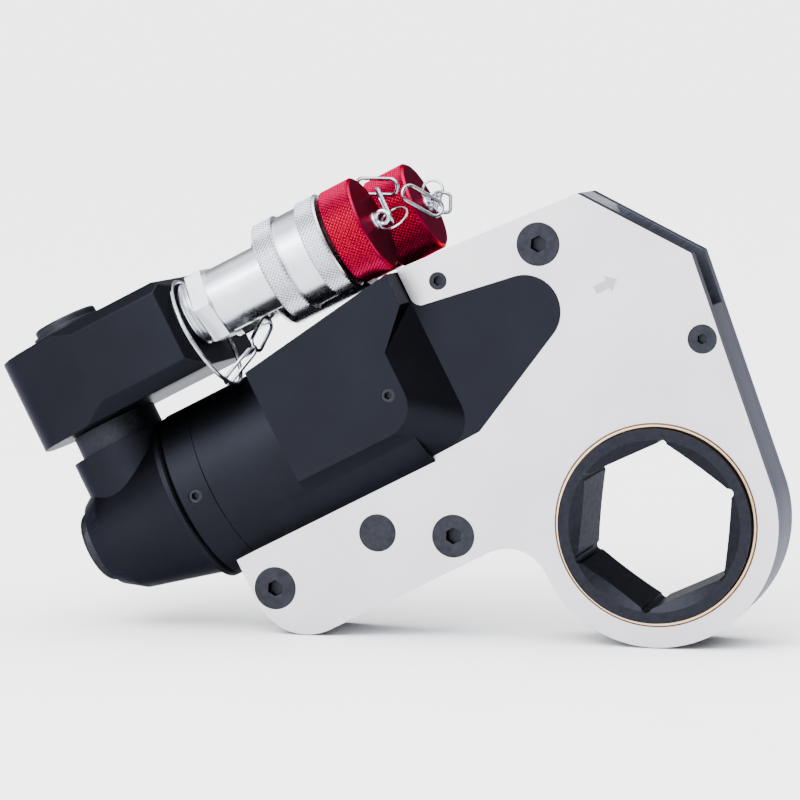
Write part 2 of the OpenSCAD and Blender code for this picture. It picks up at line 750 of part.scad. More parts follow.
module lifted(pin, lift) at(pin) rotate([0, -lift, 0]) at(-pin) children();
module drive_pawl() color(oxide) head() at_rest() lifted(drive_pin, pawl_lift)
    pawl_form(drive_pin, drive_toe);
module leaf(from, to, half_w) {
    d = (to - from) / norm(to - from);
    n = [-d.y, d.x] * spring_t / 2;
    slab(-half_w, half_w) polygon([from + n, to + n, to - n, from - n]);
}
module drive_pawl_spring() color(steel) head() at_rest() difference() {
    union() {
        at(spring_spot) across(spring_pin_r + spring_t, 2 * (web_half - spring_side));
        leaf(
            spring_spot - [0, spring_pin_r + spring_t / 2],
            drive_pin + turn([pawl_reach - drive_grip, pawl_boss_r + gap + spring_t / 2],
                pawl_lift - drive_toe),
            web_half - spring_side
        );
    }
    at(spring_spot) across(spring_pin_r + eps, 2 * plate_gap);
}
module holding_pawl_pin() color(zinc) head() at(holding_pin)
    across(pawl_pin_r, plate_gap + 2 * pawl_pin_seat);
module holding_pawl() color(oxide) head() lifted(holding_pin, pawl_lift)
    pawl_form(holding_pin, holding_toe);
module holding_pawl_spring() color(steel) head() difference() {
    leaf(
        back_spot + [-1.5, 1 - rim_boss_r],
        holding_pin + turn([pawl_reach - holding_grip, pawl_boss_r + gap + spring_t / 2],
            pawl_lift - holding_toe),
        web_half - spring_side
    );
    at(back_spot) across(rim_boss_r, plate_gap);
}

// Ratchet with its hexagon socket
module ratchet() color(oxide) head() difference() {
    union() {
        across(hub_r, ratchet_len);
        slab(-tooth_w / 2, tooth_w / 2) polygon(saw(0, 0));
    }
    rotate([0, tilt - hex_turn, 0]) {
        rotate([90, 0, 0])
            cylinder(h = ratchet_len + 2, r = hex_corner_r, center = true, $fn = 6);
        for (k = [0 : 5]) rotate([0, 60 * k, 0]) at([hex_corner_r - 0.7 * corner_relief, 0])
            across(corner_relief, ratchet_len + 2);
    }
    both_sides() translate([0, -ratchet_len / 2 - eps, 0]) rotate([-90, 0, 0])
        cylinder(h = (mouth_r - mouth_low_r) * tan(mouth_slope), r1 = mouth_r, r2 = mouth_low_r);
}

// Swivel stem, base, post and block
module stem_groove(u) ring_u(u, u + seal_w, stem_r - seal_depth, stem_r + 1);
stem_head_u = -base_rear - gap;
stem_grooves = [
    -base_rear + groove_inset, -post_back - port_half - seal_w, -post_back + port_half,
    -gland_rear - groove_inset
];
module swivel_stem() color(oxide) head() on_axis() difference() {
    turned([
        [0, stem_head_u - head_h], [head_r - head_edge, stem_head_u - head_h],
        [head_r, stem_head_u - head_h + head_edge], [head_r, stem_head_u],
        [stem_r, stem_head_u], [stem_r, -gland_rear], [stem_r - stem_step, -gland_rear],
        [stem_r - stem_step, -gland_rear + stem_seat], [0, -gland_rear + stem_seat]
    ]);
    for (u = stem_grooves) stem_groove(u);
    along_u(-post_back, -gland_rear + stem_seat + 1, oil_r);
}
module stem_seals() color(rubber) head() on_axis() for (u = stem_grooves)
    ring_u(u, u + seal_w, stem_r - seal_depth, stem_r);
module swivel_base() color(black) head() difference() {
    union() {
        on_axis() turned([
            [0, -base_rear], [base_tail_r, -base_rear], [tail_corner_r, -base_rear + tail_run],
            [cone_r, -gland_rear - base_rim_w - base_edge], [base_rim_r, -gland_rear - base_rim_w],
            [base_rim_r, -gland_rear - gap - base_edge], [base_rim_r - base_edge, -gland_rear - gap],
            [0, -gland_rear - gap]
        ]);
        intersection() {
            translate([post_u, 0, axis_v]) cylinder(h = boss_top - axis_v, r = boss_r);
            translate([-2 * base_rear, -barrel_r, axis_v])
                cube([2 * base_rear - gland_rear - gap, 2 * barrel_r, barrel_r]);
        }
    }
    on_axis() along_u(-base_rear - 1, -gland_rear, stem_r + run);
    translate([post_u, 0, post_foot]) cylinder(h = barrel_r, r = post_r - post_step + eps);
    translate([post_u, 0, axis_v]) cylinder(h = barrel_r, r = oil_r);
}
post_grooves = [
    block_low + groove_edge, coupler_v - port_half - seal_w, coupler_v + port_half,
    block_top - groove_edge - seal_w
];
module swivel_post() color(oxide) head() translate([post_u, 0, 0]) difference() {
    rotate_extrude() polygon([
        [0, post_foot], [post_r - post_step, post_foot], [post_r - post_step, boss_top],
        [post_collar_r, boss_top], [post_collar_r, collar_top], [post_r, collar_top],
        [post_r, block_top + gap], [head_r, block_top + gap], [head_r, block_top + post_head_step],
        [post_head_r, block_top + post_head_step], [post_head_r, block_top + post_head_h - dimple],
        [post_head_r - dimple, block_top + post_head_h], [dimple_r + dimple, block_top + post_head_h],
        [dimple_r, block_top + post_head_h - dimple], [0, block_top + post_head_h - dimple]
    ]);
    for (v = post_grooves) ring_v(v, v + seal_w, post_r - seal_depth, post_r + 1);
    translate([0, 0, axis_v]) cylinder(h = coupler_v - axis_v, r = oil_r);
}
module post_seals() color(rubber) head() translate([post_u, 0, 0])
    for (v = post_grooves) ring_v(v, v + seal_w, post_r - seal_depth, post_r);
module swivel_form() translate([0, 0, block_low]) {
    tail = [post_u, 0];
    corner = [crease_u, swivel_half];
    side = [
        touch(corner, tail, swivel_tail_r, 1), corner,
        [-swivel_front - swivel_nip, swivel_half], [-swivel_front, swivel_half - swivel_nip]
    ];
    linear_extrude(swivel_h) translate(tail) circle(swivel_tail_r);
    linear_extrude(swivel_h)
        polygon(concat(side, [for (i = [len(side) - 1 : -1 : 0]) [side[i].x, -side[i].y]]));
}
module long_bevel(w) translate([post_u - 2 * swivel_tail_r, -swivel_half - 1, -1])
    rotate([90, 0, 90]) linear_extrude(4 * swivel_tail_r) polygon([[0, 0], [w + 2, 0], [0, w + 2]]);
module swivel_block() color(black) head() difference() {
    swivel_form();
    both_sides() translate([0, 0, block_low]) long_bevel(low_bevel);
    both_sides() translate([0, 0, block_top]) mirror([0, 0, 1]) long_bevel(top_bevel);
    slab(-swivel_half - 1, swivel_half + 1) polygon([
        [-swivel_front - swivel_nip - 1, block_top + front_fall],
        [-swivel_front + 1, block_top + front_fall],
        [-swivel_front + 1, block_top - front_fall * (swivel_nip + 1)]
    ]);
    translate([post_u, 0, block_low - 1]) cylinder(h = swivel_h + 2, r = post_r + run);
    for (s = [-1, 1]) coupler_axis(s) {
        along_u(-swivel_front - thread_len - 1, -swivel_front + 1, thread_r + eps);
        along_u(post_u + post_r + groove_edge, -swivel_front, oil_r);
    }
}

// Couplers with their adapters, sleeve and dust caps
module adapter(side) color(zinc) head() coupler_axis(side) difference() {
    union() {
        along_u(-swivel_front - thread_len, -hex_rear + 1, thread_r);
        translate([-hex_rear, 0, 0]) rotate([0, 90, 0]) rotate(30)
            cylinder(h = hex_w, d = adapter_af / cos(30), $fn = 6);
        along_u(-tube_rear - 1, -tube_rear + spigot_len, tube_r - spigot_wall);
    }
    along_u(-swivel_front - thread_len - 1, -tube_rear + spigot_len + 1, oil_r);
}
module near_adapter() adapter(-1);
module far_adapter() adapter(1);
module ball_spots() for (k = [0 : 5]) rotate([k * 60 + 20, 0, 0])
    translate([-mouth - ball_inset, 0, 0]) children();
module near_coupler_body() color(zinc) head() coupler_axis(-1) difference() {
    union() {
        along_u(-tube_rear, -mouth - front_len, tube_r);
        along_u(-mouth - front_len, -mouth, front_r);
        along_u(-seat_flange, -seat_flange + flange_w, sleeve_bore - run);
    }
    along_u(-tube_rear - 1, -tube_rear + spigot_len, tube_r - spigot_wall + eps);
    along_u(-tube_rear, -mouth, oil_r);
    along_u(-mouth - socket_len, -mouth + 1, socket_r);
    ball_spots() cylinder(h = front_r + 1, r = ball_r + run);
}
module near_poppet() color(steel) head() coupler_axis(-1)
    turned([
        [0, poppet_u], [socket_r - run, poppet_u], [socket_r - run, poppet_u + poppet_w],
        [poppet_neck_r, poppet_u + 1.6 * poppet_w], [poppet_tip_r, poppet_u + 2.4 * poppet_w],
        [0, poppet_u + 2.4 * poppet_w]
    ]);
module lock_balls() color(steel) head() coupler_axis(-1) ball_spots()
    translate([0, 0, ball_ring_r]) sphere(ball_r, $fn = 24);
module coupler_sleeve() color(zinc) head() coupler_axis(-1) turned([
    [sleeve_bore, -sleeve_rear], [sleeve_r - band_edge, -sleeve_rear],
    [sleeve_r, -sleeve_rear + band_edge], [sleeve_r, -sleeve_rear + band_w],
    [sleeve_smooth_r - line_depth, -sleeve_rear + band_w],
    [sleeve_smooth_r - line_depth, -sleeve_rear + band_w + line_w],
    [sleeve_smooth_r, -sleeve_rear + band_w + line_w], [sleeve_smooth_r, -sleeve_front - band_w],
    [sleeve_r, -sleeve_front - band_w], [sleeve_r, -sleeve_front - band_edge],
    [sleeve_r - band_edge, -sleeve_front], [front_r + run, -sleeve_front],
    [front_r + run, -rib_front],
    [tube_r + run, -rib_front], [tube_r + run, -rib_front - rib_w],
    [sleeve_bore, -rib_front - rib_w]
]);
module sleeve_spring() color(steel) head() coupler_axis(-1)
    translate([-seat_flange + flange_w + spring_wire, 0, 0]) rotate([0, 90, 0]) coil(
        (tube_r + sleeve_bore) / 2, spring_wire, spring_turns,
        seat_flange - rib_front - rib_w - flange_w - 2 * (spring_wire + run)
    );
// Helical wire as one swept solid
module coil(r, wire, turns, rise) {
    steps = 20 * turns;
    sides = 6;
    points = [
        for (i = [0 : steps], j = [0 : sides - 1]) let (
            a = 360 * turns * i / steps,
            b = 360 * j / sides,
            q = r + wire * cos(b)
        ) [q * cos(a), q * sin(a), rise * i / steps + wire * sin(b)]
    ];
    walls = [
        for (i = [0 : steps - 1], j = [0 : sides - 1]) let (k = (j + 1) % sides)
            [i * sides + j, (i + 1) * sides + j, (i + 1) * sides + k, i * sides + k]
    ];
    first = [for (j = [0 : sides - 1]) j];
    last = [for (j = [sides - 1 : -1 : 0]) steps * sides + j];
    polyhedron(points, concat(walls, [first, last]));
}
module far_coupler_body() color(zinc) head() coupler_axis(1) difference() {
    turned([
        [0, -tube_rear], [tube_r, -tube_rear], [tube_r, -far_body_rear],
        [far_body_r - body_slope, -far_body_rear], [far_body_r - body_edge, -far_body_rear + body_edge],
        [far_body_r, -far_body_rear + body_slope], [far_body_r, -far_cap_rear - 1],
        [nipple_r, -far_cap_rear - 1], [nipple_r, -far_cap_rear + nipple_len - nipple_edge],
        [nipple_r - nipple_edge, -far_cap_rear + nipple_len], [0, -far_cap_rear + nipple_len]
    ]);
    along_u(-tube_rear - 1, -tube_rear + spigot_len, tube_r - spigot_wall + eps);
    along_u(-tube_rear, -far_cap_rear + valve_in, oil_r);
    along_u(-far_cap_rear + valve_in, -far_cap_rear + nipple_len + 1, valve_r);
}
module far_poppet() color(steel) head() coupler_axis(1) turned([
    [0, -far_cap_rear + valve_in], [valve_r - run, -far_cap_rear + valve_in],
    [valve_r - run, -far_cap_rear + valve_len],
    [valve_r / 2, -far_cap_rear + nipple_len - 1], [0, -far_cap_rear + nipple_len - 1]
]);
module near_dust_cap() color(red) head() coupler_axis(-1) turned([
    [0, -near_cap_rear - plug_len], [plug_end_r - plug_edge, -near_cap_rear - plug_len],
    [plug_end_r, -near_cap_rear - plug_len + plug_edge], [plug_end_r, -near_cap_rear],
    [near_cap_r - cap_edge, -near_cap_rear], [near_cap_r, -near_cap_rear + cap_edge],
    [near_cap_r, -near_cap_rear + near_cap_len - cap_edge],
    [near_cap_r - cap_edge, -near_cap_rear + near_cap_len], [0, -near_cap_rear + near_cap_len]
]);
module near_cap_ring() color(rubber) head() coupler_axis(-1)
    ring_u(-near_cap_rear - cap_ring_w, -near_cap_rear - eps, plug_end_r, socket_r - run);
module cap_eye(side, end) color(zinc) head() coupler_axis(side) translate([end, 0, 0]) union() {
    along_u(0, eye_foot_t, eye_foot_r);
    translate([eye_r + eye_wire + gap, 0, 0]) rotate([90, 0, 0]) rotate_extrude()
        translate([eye_r, 0]) circle(eye_wire);
}
module near_cap_eye() cap_eye(-1, -near_cap_rear + near_cap_len);
module far_dust_cap() color(red) head() coupler_axis(1) turned([
    [nipple_r + run, -far_cap_rear], [far_cap_r - cap_waist_step, -far_cap_rear],
    [far_cap_r - cap_waist_step, -far_cap_rear + cap_waist],
    [far_cap_r - cap_edge, -far_cap_rear + cap_waist],
    [far_cap_r, -far_cap_rear + cap_waist + cap_edge],
    [far_cap_r, -far_cap_rear + far_cap_len - cap_edge],
    [far_cap_r - cap_edge, -far_cap_rear + far_cap_len], [0, -far_cap_rear + far_cap_len],
    [0, -far_cap_rear + cup_len], [nipple_r + run, -far_cap_rear + cup_len]
]);
module far_cap_eye() cap_eye(1, -far_cap_rear + far_cap_len);

near_side_plate();
far_side_plate();
near_bush();
far_bush();
plate_screws();
back_screws();
lock_screws();
retaining_pin();
top_spacer();
foot_spacer();
rim_spacer();
cylinder_body();
rod_bush();
rod_seal();
rod_wiper();
end_gland();
gland_seal();
gland_set_screw();
port_plugs();
swivel_stem();
stem_seals();
holding_pawl_pin();
holding_pawl_spring();
piston();
piston_seal();
piston_guide_rings();
piston_rod();
rod_end();
near_lever_plate();
far_lever_plate();
lever_pin();
drive_pawl_pin();
spring_pin();
drive_pawl_spring();
drive_pawl();
holding_pawl();
ratchet();
swivel_base();
swivel_post();
post_seals();
swivel_block();
near_adapter();
far_adapter();
near_coupler_body();
near_poppet();
lock_balls();
sleeve_spring();
far_coupler_body();
far_poppet();
coupler_sleeve();
near_dust_cap();
near_cap_ring();
near_cap_eye();
far_dust_cap();
far_cap_eye();
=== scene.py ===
# %% [markdown]
# # A hydraulic torque wrench
# The wrench is a steel head that carries a ratchet, a black cylinder lying across it, and a
# double swivel with two hose couplers. The machined solids come ready made, in metres, standing
# as the tool stands. They could be modelled again in Blender, but then they would no longer fit
# the motion, so this lesson keeps them: it gives them soft edges and real finishes, and models
# the knurls, threads, rings and chain that go on them.

import json
import math

import bpy
from mathutils import Matrix, Vector


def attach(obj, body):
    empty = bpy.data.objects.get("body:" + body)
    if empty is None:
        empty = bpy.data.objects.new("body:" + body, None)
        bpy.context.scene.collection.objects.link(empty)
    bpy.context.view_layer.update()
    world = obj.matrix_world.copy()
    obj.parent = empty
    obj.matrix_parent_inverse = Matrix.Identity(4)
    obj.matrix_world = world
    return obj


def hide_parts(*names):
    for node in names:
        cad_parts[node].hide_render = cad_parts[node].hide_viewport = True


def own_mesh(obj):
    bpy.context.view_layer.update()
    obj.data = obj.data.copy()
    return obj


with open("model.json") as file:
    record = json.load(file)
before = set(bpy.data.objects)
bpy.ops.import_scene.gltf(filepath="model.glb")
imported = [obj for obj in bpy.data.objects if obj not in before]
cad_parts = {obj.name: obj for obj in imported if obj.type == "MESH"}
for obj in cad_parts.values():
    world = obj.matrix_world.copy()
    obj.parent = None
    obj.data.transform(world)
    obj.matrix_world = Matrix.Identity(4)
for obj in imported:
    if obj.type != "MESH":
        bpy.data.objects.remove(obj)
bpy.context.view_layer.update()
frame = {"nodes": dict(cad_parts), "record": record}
parts = frame["nodes"]
body_of = {n: b for b, ns in frame["record"]["behaviour"]["bodies"].items() for n in ns}
slot_of = {s["node"]: s["material_slot"] for s in frame["record"]["subparts"]}
print(len(parts), "parts loaded")

# %% [markdown]
# The cylinder lies 27 degrees above the floor. Most places on the tool are easier to give along
# the cylinder (u), across the tool (y) and square to both (v), in millimetres. They could be worked
# out one by one, but one matrix turns them all into metres in the standing frame. The two couplers
# lie along u, side by side, at the same height.

# %% Places along the tilted cylinder
MM = 0.001
TILT = math.radians(27)
HEAD = Matrix.Rotation(-TILT, 4, "Y") @ Matrix.Scale(MM, 4)
ALONG_U = tuple(HEAD.to_3x3().col[0].normalized())
COUPLER_Y, COUPLER_V = 15, 109.75
print("u points along", [round(c, 3) for c in ALONG_U])

# %% [markdown]
# ## Finishes
# A finish is a small node tree. It could be wired by hand in the shader editor, where each node is
# added, set and linked. Here one function does that for any node, and it takes a value, an output
# or another node for each socket. Colours are picked as sRGB hex values, as on a colour card, and
# Blender mixes light in linear values, so one function converts them.


# %% Helpers for the finishes
def colour(card):
    values = [int(card[i : i + 2], 16) / 255 for i in (1, 3, 5)]
    return (*[c / 12.92 if c <= 0.04045 else ((c + 0.055) / 1.055) ** 2.4 for c in values], 1)


def plug(tree, node, sockets):
    """Links each socket to an output, or to a node's first output, or fills it with a value."""
    for name, value in sockets.items():
        if isinstance(value, bpy.types.Node):
            value = value.outputs[0]
        if isinstance(value, bpy.types.NodeSocket):
            tree.links.new(value, node.inputs[name])
        else:
            node.inputs[name].default_value = value


def add_node(tree, kind, sockets=None, stops=(), **settings):
    """Adds a node with its settings and links. Stops are a colour ramp's places and colours."""
    made = tree.nodes.new(kind)
    for name, value in settings.items():
        setattr(made, name, value)
    plug(tree, made, sockets or {})
    for _ in stops[2:]:
        made.color_ramp.elements.new(1.0)
    for i, (position, shade) in enumerate(stops):
        made.color_ramp.elements[i].position = position
        made.color_ramp.elements[i].color = shade
    return made


def new_finish(name, metallic, glance="#FFFFFF"):
    """Glance is the shade that a metal keeps when it is looked at almost edge-on."""
    finish = bpy.data.materials.new(name)
    finish.use_nodes = True
    tree = finish.node_tree
    shader = tree.nodes["Principled BSDF"]
    plug(tree, shader, {"Metallic": metallic, "Specular Tint": colour(glance)})
    place = add_node(tree, "ShaderNodeTexCoord").outputs["Object"]
    return finish, tree, shader, place


finishes = {}
print("white is", colour("#FFFFFF"))

# %% [markdown]
# The side plates are steel under satin nickel: ground flat first, so long faint scratches run
# along the plate, then plated to a warm silver. A picture of scratches could be laid on, but noise
# stretched along u draws them at any size without one. Real grinding lines are some hundredths of
# a millimetre wide; they are drawn coarser here so that the render can show them at all.

# %% Satin nickel plate: scratches
finish, tree, shader, place = new_finish("satin_nickel_plate", 1.0, "#98989E")
along = add_node(tree, "ShaderNodeMapping", {"Vector": place, "Rotation": (0, TILT, 0)})
stretched = add_node(tree, "ShaderNodeMapping", {"Vector": along, "Scale": (0.06, 1, 1)})
scratches = add_node(
    tree, "ShaderNodeTexNoise",
    {"Vector": stretched, "Scale": 1 / (0.35 * MM), "Detail": 3.0, "Roughness": 0.55},
)
clouds = add_node(
    tree, "ShaderNodeTexNoise",
    {"Vector": place, "Scale": 1 / (30 * MM), "Detail": 2.0, "Roughness": 0.55},
)
gloss = add_node(
    tree, "ShaderNodeMapRange",
    {"Value": scratches, "From Min": 0.25, "From Max": 0.75, "To Min": 0.27, "To Max": 0.36},
)
skin = add_node(
    tree, "ShaderNodeBump", {"Height": scratches, "Distance": 0.004 * MM, "Strength": 1.0}
)
plug(tree, shader, {"Roughness": gloss, "Normal": skin})
print("scratches 0.35 mm wide,", len(tree.nodes), "nodes so far")

# %% [markdown]
# Only the outer faces keep the nickel colour. The edges get a painted dark reflection and the inner
# faces painted shade, both a dull blue-grey, which is what draws the plate's outline for the eye.
# Faces could be given a second material by hand; a mask is less work and stays right on the bevels.
# The normal's Y tells faces from edges, and the distance from the middle plane tells outer faces
# from inner ones.

# %% Satin nickel plate: faces and edges
OUTER_FACE = 9 * MM
facing = add_node(tree, "ShaderNodeTexCoord").outputs["Normal"]
across = add_node(tree, "ShaderNodeSeparateXYZ", {"Vector": facing}).outputs["Y"]
sideways = add_node(tree, "ShaderNodeMath", {0: across}, operation="ABSOLUTE")
side_face_mask = add_node(
    tree, "ShaderNodeMapRange", {"Value": sideways, "From Min": 0.3, "From Max": 0.8}
)
depth = add_node(tree, "ShaderNodeSeparateXYZ", {"Vector": place}).outputs["Y"]
beside = add_node(tree, "ShaderNodeMath", {0: depth}, operation="ABSOLUTE")
outer = add_node(tree, "ShaderNodeMath", {0: beside, 1: OUTER_FACE}, operation="GREATER_THAN")
unshaded_face_mask = add_node(tree, "ShaderNodeMath", {0: side_face_mask, 1: outer}, operation="MULTIPLY")
# Painted dark reflection on the edges and painted shade on the inner faces, in a dull blue-grey.
edge = add_node(
    tree, "ShaderNodeValToRGB", {"Fac": scratches},
    stops=((0.3, colour("#3E414B")), (0.7, colour("#4C4F59"))),
)
face = add_node(
    tree, "ShaderNodeValToRGB", {"Fac": clouds},
    stops=((0.3, colour("#ADA9AD")), (0.7, colour("#B8B4B8"))),
)
mixed = add_node(tree, "ShaderNodeMix", {0: unshaded_face_mask, 6: edge, 7: face}, data_type="RGBA")
plug(tree, shader, {"Base Color": mixed.outputs[2]})
finishes["nickel_plate"] = finish
print(finish.name, len(tree.nodes), "nodes")

# %% [markdown]
# The cylinder and swivels are anodised aluminium, blasted before it was dyed black. The blasting
# leaves a fine pebbled skin, and the dye a dark blue-grey that shines softly at grazing angles.
# Modelled pebbles would take millions of faces, so noise drives a bump instead. A much larger noise
# shifts colour and gloss a little, as a dye bath does.

# %% Black anodised aluminium
finish, tree, shader, place = new_finish("black_anodised_aluminium", 1.0, "#BCBCC0")
pebbles = add_node(
    tree, "ShaderNodeTexNoise",
    {"Vector": place, "Scale": 1 / (0.25 * MM), "Detail": 2.0, "Roughness": 0.55},
)
clouds = add_node(
    tree, "ShaderNodeTexNoise",
    {"Vector": place, "Scale": 1 / (18 * MM), "Detail": 2.0, "Roughness": 0.55},
)
shade = add_node(
    tree, "ShaderNodeValToRGB", {"Fac": clouds},
    stops=((0.3, colour("#15161A")), (0.7, colour("#17181D"))),
)
gloss = add_node(
    tree, "ShaderNodeMapRange",
    {"Value": clouds, "From Min": 0.25, "From Max": 0.75, "To Min": 0.4, "To Max": 0.44},
)
skin = add_node(
    tree, "ShaderNodeBump", {"Height": pebbles, "Distance": 0.006 * MM, "Strength": 1.0}
)
plug(tree, shader, {"Base Color": shade, "Roughness": gloss, "Normal": skin})
finishes["black_anodised"] = finish
print(finish.name, len(tree.nodes), "nodes")

# %% [markdown]
# Screws, pins and the swivel post are steel with black oxide: thinner than paint, so the machined
# surface still shows, and a little oily. A flat black would look like plastic. Blotches in colour
# and gloss, about a millimetre across, give the eye the oil, and a finer bump gives the metal.

# %% Black oxide on steel
finish, tree, shader, place = new_finish("black_oxide_steel", 1.0, "#BCBCC0")
blotches = add_node(
    tree, "ShaderNodeTexNoise",
    {"Vector": place, "Scale": 1 / (1.4 * MM), "Detail": 4.0, "Roughness": 0.55},
)
pits = add_node(
    tree, "ShaderNodeTexNoise",
    {"Vector": place, "Scale": 1 / (0.3 * MM), "Detail": 2.0, "Roughness": 0.55},
)
shade = add_node(
    tree, "ShaderNodeValToRGB", {"Fac": blotches},
    stops=((0.3, colour("#1D1E22")), (0.7, colour("#28292E"))),
)
gloss = add_node(
    tree, "ShaderNodeMapRange",
    {"Value": blotches, "From Min": 0.25, "From Max": 0.75, "To Min": 0.36, "To Max": 0.54},
)
skin = add_node(
    tree, "ShaderNodeBump", {"Height": pits, "Distance": 0.008 * MM, "Strength": 1.0}
)
plug(tree, shader, {"Base Color": shade, "Roughness": gloss, "Normal": skin})
finishes["black_oxide"] = finish
print(finish.name, len(tree.nodes), "nodes")

# %% [markdown]
# The ratchet has the same black skin, but it was faced on a lathe, so fine rings run round its
# axis. A ring-shaped wave texture could draw them, but its rings are all alike. Noise on the
# distance from the axis alone gives uneven ones, as a tool leaves them, and the normal's Y keeps
# them on the end faces. Real feed marks are a tenth of a millimetre apart; they are drawn three
# times as coarse so that they show.

# %% Black oxide on the turned ratchet
finish, tree, shader, place = new_finish("black_oxide_turned_steel", 1.0, "#A8A8AC")
flat = add_node(tree, "ShaderNodeVectorMath", {0: place, 1: (1, 0, 1)}, operation="MULTIPLY")
radius = add_node(tree, "ShaderNodeVectorMath", {0: flat}, operation="LENGTH").outputs["Value"]
rings = add_node(
    tree, "ShaderNodeTexNoise", {"W": radius, "Scale": 1 / (0.3 * MM), "Detail": 2.0},
    noise_dimensions="1D",
)
blotches = add_node(
    tree, "ShaderNodeTexNoise",
    {"Vector": place, "Scale": 1 / (1.4 * MM), "Detail": 4.0, "Roughness": 0.55},
)
shade = add_node(
    tree, "ShaderNodeValToRGB", {"Fac": blotches},
    stops=((0.3, colour("#18191D")), (0.7, colour("#1F2025"))),
)
gloss = add_node(
    tree, "ShaderNodeMapRange",
    {"Value": blotches, "From Min": 0.25, "From Max": 0.75, "To Min": 0.4, "To Max": 0.52},
)
facing = add_node(tree, "ShaderNodeTexCoord").outputs["Normal"]
endwise = add_node(tree, "ShaderNodeSeparateXYZ", {"Vector": facing}).outputs["Y"]
end_face_mask = add_node(tree, "ShaderNodeMath", {0: endwise}, operation="ABSOLUTE")
skin = add_node(
    tree, "ShaderNodeBump", {"Height": rings, "Distance": 0.02 * MM, "Strength": end_face_mask}
)
plug(tree, shader, {"Base Color": shade, "Roughness": gloss, "Normal": skin})
turned_black = finish
print(finish.name, len(tree.nodes), "nodes")

# %% [markdown]
# The couplers are zinc plated: a cool, bright grey with a slightly cloudy gloss from the bath. A
# mirror would be too clean. Low noise in colour and gloss makes the clouds, and a bump of one or
# two thousandths of a millimetre keeps the highlights from being perfectly smooth.

# %% Bright zinc plate
finish, tree, shader, place = new_finish("bright_zinc_plate", 1.0)
clouds = add_node(
    tree, "ShaderNodeTexNoise",
    {"Vector": place, "Scale": 1 / (9 * MM), "Detail": 3.0, "Roughness": 0.55},
)
ripple = add_node(
    tree, "ShaderNodeTexNoise",
    {"Vector": place, "Scale": 1 / (0.5 * MM), "Detail": 2.0, "Roughness": 0.55},
)
shade = add_node(
    tree, "ShaderNodeValToRGB", {"Fac": clouds},
    stops=((0.3, colour("#B0B3BA")), (0.7, colour("#BFC2C8"))),
)
gloss = add_node(
    tree, "ShaderNodeMapRange",
    {"Value": clouds, "From Min": 0.25, "From Max": 0.75, "To Min": 0.24, "To Max": 0.29},
)
skin = add_node(
    tree, "ShaderNodeBump", {"Height": ripple, "Distance": 0.0015 * MM, "Strength": 1.0}
)
plug(tree, shader, {"Base Color": shade, "Roughness": gloss, "Normal": skin})
finishes["zinc_plate"] = finish
print(finish.name, len(tree.nodes), "nodes")

# %% [markdown]
# The dust caps are turned aluminium, anodised red: a clear dye over bright metal, so the colour
# is deep and the shine is metallic. Faint turning marks stay under the dye. The smooth end faces
# are painted a greyish plum, a painted reflection of the room over the red. Two materials could do
# that, but then the edge between them would be hard; the normal along the cap's axis blends them.

# %% Red anodised aluminium
finish, tree, shader, place = new_finish("red_anodised_aluminium", 1.0, "#C47890")
turning = add_node(
    tree, "ShaderNodeTexNoise",
    {"Vector": place, "Scale": 1 / (0.6 * MM), "Detail": 3.0, "Roughness": 0.55},
)
facing = add_node(tree, "ShaderNodeTexCoord").outputs["Normal"]
endwise = add_node(
    tree, "ShaderNodeVectorMath", {0: facing, 1: ALONG_U}, operation="DOT_PRODUCT"
).outputs["Value"]
end_face_mask = add_node(tree, "ShaderNodeMapRange", {"Value": endwise, "From Min": 0.8, "From Max": 0.97})
dyed = add_node(
    tree, "ShaderNodeValToRGB", {"Fac": turning},
    stops=((0.3, colour("#880030")), (0.7, colour("#A2003C"))),
)
# Painted reflection: the greyish plum of the end faces.
plum = add_node(
    tree, "ShaderNodeValToRGB", {"Fac": turning},
    stops=((0.3, colour("#56283E")), (0.7, colour("#66384C"))),
)
mixed = add_node(tree, "ShaderNodeMix", {0: end_face_mask, 6: dyed, 7: plum}, data_type="RGBA")
gloss = add_node(
    tree, "ShaderNodeMapRange",
    {"Value": turning, "From Min": 0.25, "From Max": 0.75, "To Min": 0.27, "To Max": 0.38},
)
skin = add_node(
    tree, "ShaderNodeBump", {"Height": turning, "Distance": 0.005 * MM, "Strength": 1.0}
)
plug(tree, shader, {"Base Color": mixed.outputs[2], "Roughness": gloss, "Normal": skin})
finishes["red_anodised"] = finish
print(finish.name, len(tree.nodes), "nodes")

# %% [markdown]
# The ratchet turns in bronze bushes, seen only as a thin ring. Bronze darkens in blotches. The
# bush is coloured dark brown along both edges and bright in a narrow band between them, so the eye
# sees a bright band between two dark ones. Three rings could be modelled; comparing the distance
# from the axis with the band's middle does it in one finish.

# %% Turned bronze
BAND_MIDDLE, BAND_HALF = 27.55 * MM, 0.24 * MM
finish, tree, shader, place = new_finish("turned_bronze", 1.0)
tarnish = add_node(
    tree, "ShaderNodeTexNoise",
    {"Vector": place, "Scale": 1 / (2.5 * MM), "Detail": 4.0, "Roughness": 0.55},
)
flat = add_node(tree, "ShaderNodeVectorMath", {0: place, 1: (1, 0, 1)}, operation="MULTIPLY")
radius = add_node(tree, "ShaderNodeVectorMath", {0: flat}, operation="LENGTH").outputs["Value"]
in_band = add_node(
    tree, "ShaderNodeMath", {0: radius, 1: BAND_MIDDLE, 2: BAND_HALF}, operation="COMPARE"
)
bright = add_node(
    tree, "ShaderNodeValToRGB", {"Fac": tarnish},
    stops=((0.3, colour("#C9A986")), (0.7, colour("#DBBE9D"))),
)
mixed = add_node(
    tree, "ShaderNodeMix", {0: in_band, 6: colour("#4E3C2E"), 7: bright}, data_type="RGBA"
)
